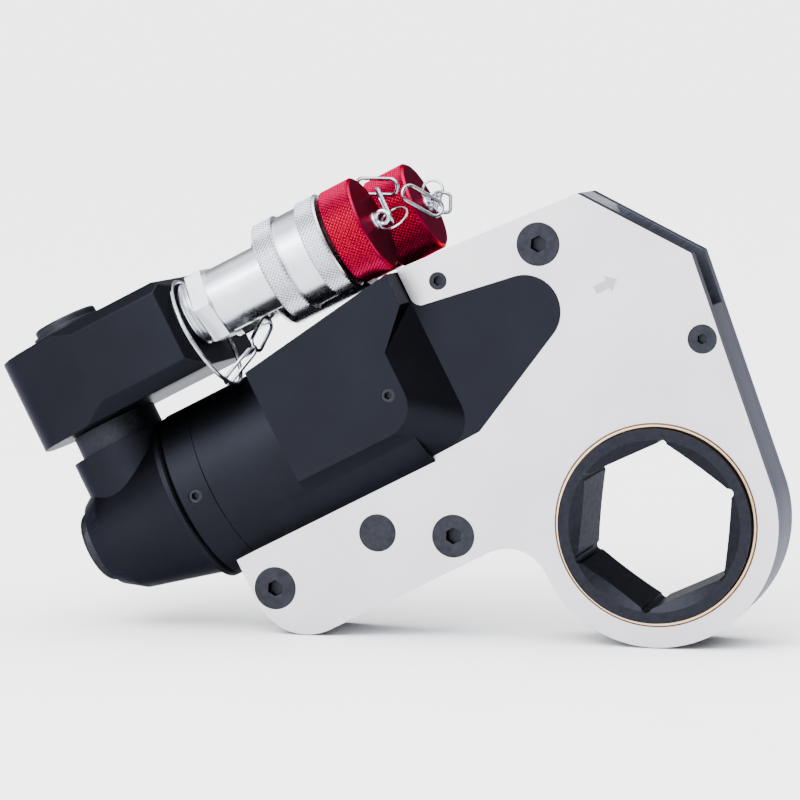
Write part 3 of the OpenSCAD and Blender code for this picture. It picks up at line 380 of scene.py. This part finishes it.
gloss = add_node(
    tree, "ShaderNodeMapRange",
    {"Value": tarnish, "From Min": 0.25, "From Max": 0.75, "To Min": 0.28, "To Max": 0.45},
)
plug(tree, shader, {"Base Color": mixed.outputs[2], "Roughness": gloss})
finishes["bronze"] = finish
print(finish.name, len(tree.nodes), "nodes")

# %% [markdown]
# Lever, pawls, springs and poppets are bare ground steel, mostly hidden and glimpsed through gaps.
# A plain grey metal would do for that, but one noise, just under a millimetre with fine detail in
# it, costs little and gives the eye the uneven scratches and broken shine of ground steel.

# %% Ground steel
finish, tree, shader, place = new_finish("ground_steel", 1.0)
scratches = add_node(
    tree, "ShaderNodeTexNoise",
    {"Vector": place, "Scale": 1 / (0.8 * MM), "Detail": 5.0, "Roughness": 0.55},
)
shade = add_node(
    tree, "ShaderNodeValToRGB", {"Fac": scratches},
    stops=((0.3, colour("#8E9298")), (0.7, colour("#B4B8BD"))),
)
gloss = add_node(
    tree, "ShaderNodeMapRange",
    {"Value": scratches, "From Min": 0.25, "From Max": 0.75, "To Min": 0.28, "To Max": 0.46},
)
skin = add_node(
    tree, "ShaderNodeBump", {"Height": scratches, "Distance": 0.006 * MM, "Strength": 1.0}
)
plug(tree, shader, {"Base Color": shade, "Roughness": gloss, "Normal": skin})
finishes["bare_steel"] = finish
print(finish.name, len(tree.nodes), "nodes")

# %% [markdown]
# The seals are nitrile rubber: black and dull, with the slight grey bloom that rubber gets in time.
# Mould marks could be added, but so little of a seal is seen that one low noise in colour and gloss
# is enough. This is the last finish of the machined parts, so each part then gets its own.

# %% Nitrile rubber, and all finishes on
finish, tree, shader, place = new_finish("nitrile_rubber", 0.0)
bloom = add_node(
    tree, "ShaderNodeTexNoise",
    {"Vector": place, "Scale": 1 / (1.2 * MM), "Detail": 3.0, "Roughness": 0.55},
)
shade = add_node(
    tree, "ShaderNodeValToRGB", {"Fac": bloom},
    stops=((0.3, colour("#161618")), (0.7, colour("#242426"))),
)
gloss = add_node(
    tree, "ShaderNodeMapRange",
    {"Value": bloom, "From Min": 0.25, "From Max": 0.75, "To Min": 0.5, "To Max": 0.7},
)
plug(tree, shader, {"Base Color": shade, "Roughness": gloss})
finishes["seal_rubber"] = finish

for name, part in parts.items():
    part.data.materials.clear()
    part.data.materials.append(finishes[slot_of[name]])
print(len(finishes), "finishes on", len(parts), "parts")

# %% [markdown]
# ## Soft edges
# Every piece ends in the same way: it gets its finish and smooth shading, and it says which body
# it moves with and which part it stands for. Flat shading would show each small facet of a round
# face. Weighted normals let each flat face keep its own direction, so that only the narrow bevels
# bend the light.

# %% A helper that finishes a piece
SMOOTH_BELOW = math.radians(32)


def finish_piece(piece, body, slot, *stands_for):
    """Gives a piece its finish and smooth shading, and says what it rides on and stands for."""
    piece.data.materials.clear()
    piece.data.materials.append(finishes[slot])
    bpy.ops.object.select_all(action="DESELECT")
    piece.select_set(True)
    bpy.context.view_layer.objects.active = piece
    bpy.ops.object.shade_smooth_by_angle(angle=SMOOTH_BELOW)
    even = piece.modifiers.new("flat_faces_lead", "WEIGHTED_NORMAL")
    even.keep_sharp = True
    bpy.ops.object.modifier_apply(modifier=even.name)
    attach(piece, body)
    if stands_for:
        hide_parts(*stands_for)
    return piece


print("smooth over corners below", round(math.degrees(SMOOTH_BELOW)), "degrees")

# %% [markdown]
# No machined edge is perfectly sharp: each is broken with a small chamfer that catches the light.
# A shader can only fake that, so a part is copied, its loose triangles are merged and its flat
# faces cleaned up, and a bevel is applied. The copy stands for the solid, which stays as it was for
# the motion.

# %% Helpers that break the edges of a part
BEVEL_ABOVE = math.radians(28)
FLAT_WITHIN = math.radians(0.5)


def bevel_edges(piece, width_mm):
    edge = piece.modifiers.new("broken_edges", "BEVEL")
    edge.width = width_mm * MM
    edge.segments = 2
    edge.limit_method = "ANGLE"
    edge.angle_limit = BEVEL_ABOVE
    edge.use_clamp_overlap = True
    bpy.context.view_layer.objects.active = piece
    bpy.ops.object.modifier_apply(modifier=edge.name)


def soften(name, width_mm):
    """Makes a copy of a part with broken edges, which is shown in its place."""
    bpy.ops.object.select_all(action="DESELECT")
    parts[name].select_set(True)
    bpy.context.view_layer.objects.active = parts[name]
    bpy.ops.object.duplicate()
    piece = bpy.context.object
    piece.parent = None
    for key in list(piece.keys()):
        del piece[key]
    piece.name = name + "_shown"
    bpy.ops.object.mode_set(mode="EDIT")
    bpy.ops.mesh.select_all(action="SELECT")
    bpy.ops.mesh.remove_doubles(threshold=0.002 * MM)
    bpy.ops.mesh.dissolve_limited(angle_limit=FLAT_WITHIN)
    bpy.ops.object.mode_set(mode="OBJECT")
    bevel_edges(piece, width_mm)
    return finish_piece(piece, body_of[name], slot_of[name], name)


print("bevels on corners sharper than", round(math.degrees(BEVEL_ABOVE)), "degrees")

# %% [markdown]
# How wide an edge is broken depends on the part: almost a millimetre on the plates, which are
# handled, and a tenth or two on small screws. One width for all would either round the screws away
# or leave the plates sharp, so a list gives each part its own. Pieces inside the tool are skipped.

# %% Broken edges
broken_edges = {
    "near_side_plate": 0.9, "far_side_plate": 0.9, "rim_spacer": 0.3, "top_spacer": 0.4,
    "foot_spacer": 0.3, "cylinder_body": 0.35, "end_gland": 0.3, "swivel_base": 0.4,
    "swivel_block": 0.4, "ratchet": 0.35, "swivel_post": 0.3, "swivel_stem": 0.3,
    "plate_screws": 0.2, "back_screws": 0.15, "lock_screws": 0.15, "retaining_pin": 0.3,
    "gland_set_screw": 0.15, "port_plugs": 0.15, "near_coupler_body": 0.25,
    "far_coupler_body": 0.3, "near_adapter": 0.35, "far_adapter": 0.35, "near_bush": 0.25,
    "far_bush": 0.25, "near_cap_eye": 0.05, "far_cap_eye": 0.05, "near_cap_ring": 0.08,
}
for name, width_mm in broken_edges.items():
    piece = soften(name, width_mm)
    if name == "ratchet":
        piece.data.materials[0] = turned_black
    print(piece.name, len(piece.data.polygons), "faces")

# %% [markdown]
# ## Turned pieces
# The sleeve and the dust caps are turned on a lathe. Stacked cylinders could give the same shape
# with seams inside; Blender's own lathe, the spin tool, leaves one clean skin. A point is extruded
# into the outline of half the piece, and the outline is spun about the axis. Each piece is turned
# about Z and then laid along its coupler's axis.

# %% A lathe
SPIN_STEPS = 96
LAID_DOWN = Matrix.Rotation(math.radians(90), 4, "Y")
NEAR_COUPLER = HEAD @ Matrix.Translation((0, -COUPLER_Y, COUPLER_V)) @ LAID_DOWN
FAR_COUPLER = HEAD @ Matrix.Translation((0, COUPLER_Y, COUPLER_V)) @ LAID_DOWN


def lathe(name, outline, place, edge_mm):
    """Spins an outline of (radius, distance along the axis), in millimetres."""
    bpy.ops.object.select_all(action="DESELECT")
    bpy.ops.mesh.primitive_plane_add(size=1)
    piece = bpy.context.object
    piece.name = name
    bpy.ops.object.mode_set(mode="EDIT")
    bpy.ops.mesh.select_mode(type="VERT")
    bpy.ops.mesh.select_all(action="SELECT")
    bpy.ops.mesh.merge(type="CENTER")
    bpy.ops.transform.translate(value=(outline[0][0], 0, outline[0][1]))
    for (r0, z0), (r1, z1) in zip(outline, outline[1:]):
        bpy.ops.mesh.extrude_vertices_move(
            TRANSFORM_OT_translate={"value": (r1 - r0, 0, z1 - z0)}
        )
    bpy.ops.mesh.select_all(action="SELECT")
    bpy.ops.mesh.spin(steps=SPIN_STEPS, angle=math.tau, center=(0, 0, 0), axis=(0, 0, 1))
    bpy.ops.mesh.select_all(action="SELECT")
    bpy.ops.mesh.remove_doubles(threshold=0.001)
    bpy.ops.mesh.normals_make_consistent(inside=False)
    bpy.ops.object.mode_set(mode="OBJECT")
    piece.data.transform(place)
    if edge_mm:
        bevel_edges(piece, edge_mm)
    return piece


print("near coupler's axis starts at", [round(c, 4) for c in NEAR_COUPLER.translation])

# %% [markdown]
# By hand, edges are picked with the mouse and pieces are joined with a key. In a script both are
# small functions. An operator acts on all that is selected, so picking first clears the selection
# and then selects by a test on each vertex or edge, and joining selects only what it is given.

# %% Picking and joining
PICK_MODES = {"vertices": "VERT", "edges": "EDGE"}


def pick(piece, kind, test):
    """Opens the piece with only those vertices or edges selected that pass the test."""
    bpy.ops.object.mode_set(mode="EDIT")
    bpy.ops.mesh.select_mode(type=PICK_MODES[kind])
    bpy.ops.mesh.select_all(action="DESELECT")
    bpy.ops.object.mode_set(mode="OBJECT")
    for item in getattr(piece.data, kind):
        item.select = test(item)
    bpy.ops.object.mode_set(mode="EDIT")


def join(pieces):
    bpy.ops.object.select_all(action="DESELECT")
    for piece in pieces:
        piece.select_set(True)
    bpy.context.view_layer.objects.active = pieces[0]
    bpy.ops.object.join()
    return pieces[0]


print("picks", " or ".join(PICK_MODES))

# %% [markdown]
# A knurl is a belt of small diamonds pressed into the metal so that fingers grip it. A bump map
# would leave the outline smooth, so the teeth are modelled. A tube cut into square cells is poked,
# so that each cell gets a centre, and the old cell edges are dissolved: what is left are diamonds.
# Insetting each diamond and raising it makes a flat-topped tooth.

# %% A knurled band
FLANK_SHARE = 0.26


def knurl(name, top_r, start, end, teeth, depth, place):
    pitch = math.tau * top_r / teeth
    rows = max(2, round((end - start) / pitch))
    bpy.ops.object.select_all(action="DESELECT")
    bpy.ops.mesh.primitive_cylinder_add(
        vertices=teeth, radius=top_r - depth, depth=end - start, end_fill_type="NOTHING",
        location=(0, 0, (start + end) / 2),
    )
    band = bpy.context.object
    band.name = name
    bpy.ops.object.transform_apply(location=True, rotation=True, scale=True)
    points = band.data.vertices

    def height(edge):
        return abs(points[edge.vertices[0]].co.z - points[edge.vertices[1]].co.z)

    pick(band, "edges", lambda edge: height(edge) > 0.1)
    bpy.ops.mesh.subdivide(number_cuts=rows - 1)
    bpy.ops.object.mode_set(mode="OBJECT")
    corners = len(band.data.vertices)
    bpy.ops.object.mode_set(mode="EDIT")
    bpy.ops.mesh.select_all(action="SELECT")
    bpy.ops.mesh.poke()
    bpy.ops.object.mode_set(mode="OBJECT")
    points = band.data.vertices

    def on_rim(edge):
        z = points[edge.vertices[0]].co.z
        return height(edge) < 0.01 and min(abs(z - start), abs(z - end)) < 0.01

    pick(band, "edges", lambda edge: max(edge.vertices) < corners and not on_rim(edge))
    bpy.ops.mesh.dissolve_edges(use_verts=False)
    bpy.ops.mesh.select_all(action="SELECT")
    bpy.ops.mesh.normals_make_consistent(inside=False)
    bpy.ops.mesh.inset(thickness=FLANK_SHARE * pitch, depth=depth, use_individual=True)
    bpy.ops.object.mode_set(mode="OBJECT")
    band.data.transform(place)
    return band


print("a flank takes", FLANK_SHARE, "of a tooth's pitch")

# %% [markdown]
# The locking sleeve of the near coupler is pulled back to let the hose go. It has a knurled band
# at each end and a plain waist between them, with a dark groove beside the rear band. The knurls
# could be cut into the turned body; laying two bands over it keeps the body simple, and they are
# joined to it as one piece.

# %% Locking sleeve
sleeve = lathe(
    "locking_sleeve",
    [
        (12.05, -64.7), (13.9, -64.7), (14.2, -64.4), (14.2, -58.4), (13.0, -58.4), (13.0, -57.8),
        (13.6, -57.8), (13.6, -50.7), (14.2, -50.7), (14.2, -44.9), (13.8, -44.4), (10.95, -44.4),
        (10.95, -52.5), (9.45, -52.5), (9.45, -55.0), (12.05, -55.0), (12.05, -64.7),
    ],
    NEAR_COUPLER,
    0.12,
)
bands = [
    knurl("rear_band", 14.5, -64.4, -58.45, 76, 0.3, NEAR_COUPLER),
    knurl("front_band", 14.5, -50.65, -44.9, 76, 0.3, NEAR_COUPLER),
]
finish_piece(join([sleeve, *bands]), "sleeve", "zinc_plate", "coupler_sleeve")
print(sleeve.name, len(sleeve.data.polygons), "faces")

# %% [markdown]
# Inside the sleeve a spring pushes it forward. It gets broken edges and a mesh of its own. It is
# not squashed, so the sleeve would cut through it when it is pulled back.

# %% Sleeve spring
spring = soften("sleeve_spring", 0.1)
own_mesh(spring)

# %% [markdown]
# The near dust cap is a plug with a short knurled head. The far one is a deep cup that goes over
# the coupler's nose: its rear is smooth and its front is knurled. Both are made as the sleeve was,
# a turned body with a band over it, because the outlines differ and the way is the same.

# %% Dust caps
near_cap = lathe(
    "near_dust_cap_shown",
    [
        (0, -49.9), (6.8, -49.9), (7.6, -49.1), (7.6, -43.4), (13.3, -43.4), (13.65, -43.05),
        (13.65, -33.7), (13.1, -33.3), (0, -33.3),
    ],
    NEAR_COUPLER,
    0.15,
)
near_knurl = knurl("near_cap_knurl", 14.0, -43.1, -33.75, 74, 0.34, NEAR_COUPLER)
finish_piece(join([near_cap, near_knurl]), "near_cap", "red_anodised", "near_dust_cap")

far_cap = lathe(
    "far_dust_cap_shown",
    [
        (8.25, -47.5), (12.4, -47.5), (12.6, -47.3), (12.6, -38.2), (13.05, -37.8), (13.05, -25.3),
        (12.5, -24.7), (0, -24.7), (0, -31.5), (8.25, -31.5), (8.25, -47.5),
    ],
    FAR_COUPLER,
    0.15,
)
far_knurl = knurl("far_cap_knurl", 13.4, -37.8, -25.35, 70, 0.34, FAR_COUPLER)
finish_piece(join([far_cap, far_knurl]), "far_cap", "red_anodised", "far_dust_cap")
print("caps", len(near_cap.data.polygons), len(far_cap.data.polygons), "faces")

# %% [markdown]
# Each adapter shows a few turns of its thread between the swivel block and the hexagon. The screw
# modifier would make a true helix with open ends. Spun V grooves look the same at this length, and
# stay a closed ring.

# %% Adapter threads
THREAD_START, THREAD_PITCH, THREAD_TURNS = -92.0, 1.25, 3
BORE_R, ROOT_R, CREST_R = 8.3, 8.65, 9.25
THREAD_END = THREAD_START + THREAD_PITCH * THREAD_TURNS
ridge = []
for k in range(THREAD_TURNS):
    z = THREAD_START + THREAD_PITCH * k
    ridge += [(ROOT_R, z + 0.1), (CREST_R, z + 0.5), (CREST_R, z + 0.75), (ROOT_R, z + 1.15)]
outline = [(BORE_R, THREAD_START), *ridge, (BORE_R, THREAD_END), (BORE_R, THREAD_START)]
for name, place in (("near_thread", NEAR_COUPLER), ("far_thread", FAR_COUPLER)):
    thread = lathe(name, outline, place, 0)
    finish_piece(thread, "swivel_block", "zinc_plate")
    print(name, len(thread.data.polygons), "faces")

# %% [markdown]
# ## Turning arrow
# A plain arrow is etched into the near plate and shows which way the ratchet turns. It could be
# drawn in the plate's finish, but a thin body keeps the two apart. A flat triangle is the head.
# Its rear edge is cut in four, the middle two pieces are pulled out as the shaft, and a little
# thickness makes it a body that lies on the plate.

# %% Arrow shape
ARROW_HEAD_R, ARROW_SHAFT, ARROW_SQUEEZE, ARROW_THICKNESS = 2.8, 5.5, 0.72, 0.03
ARROW_SPOT = (18.9, -13.51, 65.2)
bpy.ops.object.select_all(action="DESELECT")
bpy.ops.mesh.primitive_circle_add(
    vertices=3, radius=ARROW_HEAD_R, fill_type="NGON", rotation=(0, 0, math.radians(-90))
)
arrow = bpy.context.object
arrow.name = "turning_arrow"
bpy.ops.object.transform_apply(location=True, rotation=True, scale=True)
corners = arrow.data.vertices


def middle(edge):
    return sum((corners[v].co for v in edge.vertices), Vector()) / 2


pick(arrow, "edges", lambda edge: middle(edge).x < -1)
bpy.ops.mesh.subdivide(number_cuts=3)
bpy.ops.object.mode_set(mode="OBJECT")
corners = arrow.data.vertices
pick(arrow, "edges", lambda edge: middle(edge).x < -1 and abs(middle(edge).y) < 0.8)
bpy.ops.mesh.extrude_edges_move(TRANSFORM_OT_translate={"value": (-ARROW_SHAFT, 0, 0)})
bpy.ops.mesh.select_all(action="SELECT")
bpy.ops.transform.resize(value=(ARROW_SQUEEZE, 1, 1), center_override=(0, 0, 0))
bpy.ops.mesh.normals_make_consistent(inside=False)
bpy.ops.object.mode_set(mode="OBJECT")
thick = arrow.modifiers.new("skin", "SOLIDIFY")
thick.thickness, thick.offset = ARROW_THICKNESS, 0
bpy.ops.object.modifier_apply(modifier=thick.name)
on_plate = Matrix.Translation(ARROW_SPOT) @ Matrix.Rotation(math.radians(90), 4, "X")
arrow.data.transform(HEAD @ on_plate)
print("arrow", [round(d * 1000, 1) for d in arrow.dimensions], "mm")

# %% [markdown]
# Etching roughens the nickel, so the arrow is the same metal, only a shade darker and matt. Copying
# the plate's finish would bring its scratches along; a short tree of its own, with a fine grain,
# gives the eye a frosted spot.

# %% Etched nickel
finish, tree, shader, place = new_finish("etched_nickel", 1.0)
etched = add_node(
    tree, "ShaderNodeTexNoise",
    {"Vector": place, "Scale": 1 / (0.4 * MM), "Detail": 3.0, "Roughness": 0.55},
)
shade = add_node(
    tree, "ShaderNodeValToRGB", {"Fac": etched},
    stops=((0.3, colour("#8F8D92")), (0.7, colour("#9C9A9F"))),
)
gloss = add_node(
    tree, "ShaderNodeMapRange",
    {"Value": etched, "From Min": 0.25, "From Max": 0.75, "To Min": 0.5, "To Max": 0.65},
)
plug(tree, shader, {"Base Color": shade, "Roughness": gloss})
finish_piece(arrow, "housing", "nickel_plate")
arrow.data.materials[0] = finish
print(arrow.name, "is", finish.name)

# %% [markdown]
# ## Rings and chain
# The dust caps hang on a chain so that they are not lost. It is drawn steel wire: bright, nearly
# a mirror, with faint streaks from the die that break the reflection up. They could follow each
# wire on a UV map, but on a wire about a millimetre thick they would be too fine to show. Noise
# nearly as coarse as the wire stands for them.

# %% Bright steel wire
finish, tree, shader, place = new_finish("bright_steel_wire", 1.0)
drawn = add_node(
    tree, "ShaderNodeTexNoise",
    {"Vector": place, "Scale": 1 / (0.7 * MM), "Detail": 3.0, "Roughness": 0.55},
)
shade = add_node(
    tree, "ShaderNodeValToRGB", {"Fac": drawn},
    stops=((0.3, colour("#777A82")), (0.7, colour("#A3A6AD"))),
)
gloss = add_node(
    tree, "ShaderNodeMapRange",
    {"Value": drawn, "From Min": 0.25, "From Max": 0.75, "To Min": 0.12, "To Max": 0.24},
)
plug(tree, shader, {"Base Color": shade, "Roughness": gloss})
wire_finish = finish
print(finish.name, len(tree.nodes), "nodes")

# %% [markdown]
# A link is a bent wire: a torus whose two halves are pulled apart. A curve with a bevel would do as
# well, but has to be turned into a mesh afterwards. One link is modelled and copied, each copy laid
# from one point to the next and rolled against its neighbour, as links lie in one another.

# %% A chain link and a way to lay it
LINK_LENGTH, LINK_WIDTH, LINK_WIRE = 14.0, 5.6, 0.55


def wire_ring(name, radius, wire, place):
    bpy.ops.object.select_all(action="DESELECT")
    bpy.ops.mesh.primitive_torus_add(
        major_radius=radius, minor_radius=wire, major_segments=48, minor_segments=10
    )
    ring = bpy.context.object
    ring.name = name
    ring.data.transform(place)
    return ring


def oval_link(name, length, width, wire):
    link = wire_ring(name, width / 2 - wire, wire, Matrix.Identity(4))
    pick(link, "vertices", lambda vertex: vertex.co.x > 0.001)
    bpy.ops.transform.translate(value=(length - width, 0, 0))
    bpy.ops.mesh.select_all(action="SELECT")
    bpy.ops.transform.translate(value=(-(length - width) / 2, 0, 0))
    bpy.ops.object.mode_set(mode="OBJECT")
    return link


def lay(link, start, end, roll):
    """Copies the link so that it lies from start to end, each given as (u, v, y)."""
    copy = link.copy()
    copy.data = link.data.copy()
    bpy.context.scene.collection.objects.link(copy)
    start, end = (Vector((u, y, v)) for u, v, y in (start, end))
    along = (end - start).to_track_quat("X", "Z").to_matrix().to_4x4()
    turn = Matrix.Rotation(math.radians(roll), 4, "X")
    copy.data.transform(HEAD @ Matrix.Translation((start + end) / 2) @ along @ turn)
    return copy


link = oval_link("chain_link", LINK_LENGTH, LINK_WIDTH, LINK_WIRE)
print("link", [round(d, 2) for d in link.dimensions], "mm")

# %% [markdown]
# The chain starts at a ring that hangs on the near adapter's thread, climbs between the tubes,
# lies in the groove between the couplers and comes out over the caps. A simulation could drop it
# there, but would land differently each time. Given points keep it in place, and leave room for
# the sleeve when it is pulled back.

# %% Chain and neck ring
in_groove = [
    (-91.2, 88.4, -18.0), (-80.3, 93.8, -14.5), (-76.0, 99.6, -4.5), (-74.4, 112.8, -0.9),
    (-63.6, 120.4, 1.0), (-49.8, 121.2, 0.4), (-36.8, 122.0, -1.6),
]
over_caps = [
    ((-36.8, 122.2, -1.6), (-25.0, 116.0, -4.6), 90),
    ((-24.3, 115.0, -4.5), (-18.3, 104.6, 1.5), 105),
    ((-18.3, 104.6, 1.5), (-18.2, 110.4, 13.0), 40),
    ((-30.5, 117.9, -6.5), (-28.8, 107.2, -14.5), 80),
]
ROLLS = (30, 100)
links = []
for i, (start, end) in enumerate(zip(in_groove, in_groove[1:])):
    links.append(lay(link, start, end, ROLLS[i % 2]))
for start, end, roll in over_caps:
    links.append(lay(link, start, end, roll))
hanging = Matrix.Translation((-91.0, -COUPLER_Y, 103.6)) @ Matrix.Rotation(math.radians(85), 4, "Y")
links.append(wire_ring("neck_ring", 16.6, 0.6, HEAD @ hanging))
bpy.data.objects.remove(link)
chain = join(links)
chain.name = "cap_chain"
finish_piece(chain, "swivel_block", "zinc_plate")
chain.data.materials[0] = wire_finish
print("chain", len(chain.data.polygons), "faces")

# %% [markdown]
# A split ring sits in the eye of each cap. Joined to the chain it would stay behind when the cap
# turns, so it is a piece of its own that belongs to the cap, while the chain stays with the swivel
# block.

# %% Split rings
split_rings = (
    ("near_split_ring", "near_cap", 4.3, 0.32, (-27.5, -16, 108.0), 35),
    ("far_split_ring", "far_cap", 3.2, 0.4, (-21.2, 14.5, 112.2), 75),
)
for name, cap, radius, wire, spot, lean in split_rings:
    leaning = Matrix.Translation(spot) @ Matrix.Rotation(math.radians(lean), 4, "X")
    ring = wire_ring(name, radius, wire, HEAD @ leaning)
    finish_piece(ring, cap, "zinc_plate")
    ring.data.materials[0] = wire_finish
    print(name, "rides on", cap)

# %% [markdown]
# ## Studio
# The tool stands on pale paper. A curved backdrop could hide the horizon; a floor of sixty metres
# does it as well, since the horizon then lies in the pale part of the room. The paper is dull and
# not quite even, which keeps the shadow soft.

# %% Floor
FLOOR_LEVEL = -0.0342
bpy.ops.object.select_all(action="DESELECT")
bpy.ops.mesh.primitive_plane_add(size=60, location=(0, 0, FLOOR_LEVEL))
floor = bpy.context.object
floor.name = "floor"
finish, tree, shader, place = new_finish("pale_floor", 0.0)
paper = add_node(
    tree, "ShaderNodeTexNoise",
    {"Vector": place, "Scale": 1 / (40 * MM), "Detail": 3.0, "Roughness": 0.55},
)
shade = add_node(
    tree, "ShaderNodeValToRGB", {"Fac": paper},
    stops=((0.3, colour("#FAFAFA")), (0.7, colour("#FDFDFD"))),
)
plug(tree, shader, {"Base Color": shade, "Roughness": 0.8})
floor.data.materials.append(finish)
print("floor at", FLOOR_LEVEL * 1000, "mm")

# %% [markdown]
# Satin metal shows what stands around it, so the room is drawn with care: bright overhead like
# a large soft box, a second soft panel high in front, pale at the horizon where the floor meets the
# wall, and dark in between. Lamps and cards could do it, but a sky that depends only on direction
# lights every part alike. The dark belt gives the plate edges, the tubes and the black cylinder
# their contrast.

# %% Room
PANEL_WAY, PANEL_RIM, PANEL_CORE, PANEL_GREY = (-0.25, -0.8, 0.55), 0.72, 0.94, 0.9
ROOM_TINT, BRIGHTNESS = (0.96, 0.97, 1.0, 1), 8.0
sky_greys = ((0.03, 0.5), (0.06, 0.25), (0.10, 0.06), (0.55, 0.07), (0.86, 0.62), (1.0, 0.95))
world = bpy.data.worlds.new("studio")
bpy.context.scene.world = world
world.use_nodes = True
tree = world.node_tree
direction = add_node(tree, "ShaderNodeTexCoord").outputs["Generated"]
height = add_node(tree, "ShaderNodeSeparateXYZ", {"Vector": direction}).outputs["Z"]
belt = add_node(
    tree, "ShaderNodeValToRGB", {"Fac": height},
    stops=[(position, (grey, grey, grey, 1)) for position, grey in sky_greys],
)
towards = add_node(
    tree, "ShaderNodeVectorMath", {0: direction, 1: PANEL_WAY}, operation="DOT_PRODUCT"
).outputs["Value"]
panel = add_node(
    tree, "ShaderNodeMapRange",
    {"Value": towards, "From Min": PANEL_RIM, "From Max": PANEL_CORE, "To Max": PANEL_GREY},
    interpolation_type="SMOOTHSTEP",
)
light = add_node(tree, "ShaderNodeMath", {0: belt, 1: panel}, operation="ADD")
glow = add_node(tree, "ShaderNodeMath", {0: light, 1: BRIGHTNESS}, operation="MULTIPLY")
plug(tree, tree.nodes["Background"], {"Color": ROOM_TINT, "Strength": glow})
print("room with", len(sky_greys), "bands of light")

# %% [markdown]
# The room alone gives hardly any shadow. One large lamp from the front left adds a soft one under
# the tool and a little more light on the plate. A small lamp would draw a hard edge.

# %% Key light
KEY_PLACE, KEY_AIM = Vector((-0.6, -1.1, 0.9)), Vector((0, 0, 0.05))
bpy.ops.object.light_add(type="AREA", location=KEY_PLACE)
lamp = bpy.context.object
lamp.name = "key_box"
lamp.data.size = 0.7
lamp.data.energy = 16
lamp.rotation_euler = (KEY_AIM - KEY_PLACE).to_track_quat("-Z", "Y").to_euler()
print("key light", lamp.data.energy, "W")

# %% [markdown]
# The camera stands where the photograph was taken from: a little to the right of the plate's face
# and slightly above it, with a long lens. A constraint could aim it, but the tool would then not
# sit at the same place in the frame, so its right and up directions are given.

# %% Camera
CAMERA_PLACE = (0.1719, -0.9970, 0.1230)
right, up = Vector((0.97052, 0.24102, 0)), Vector((-0.02131, 0.08581, 0.99607))
back = right.cross(up)
camera = bpy.data.objects.new("camera", bpy.data.cameras.new("camera"))
bpy.context.scene.collection.objects.link(camera)
camera.data.lens = 164.25
camera.data.sensor_width = 36
camera.data.clip_start = 0.01
turned = Matrix((right, up, back)).transposed().to_4x4()
camera.matrix_world = Matrix.Translation(CAMERA_PLACE) @ turned
bpy.context.scene.camera = camera
print("camera looks along", [round(c, 3) for c in -back])
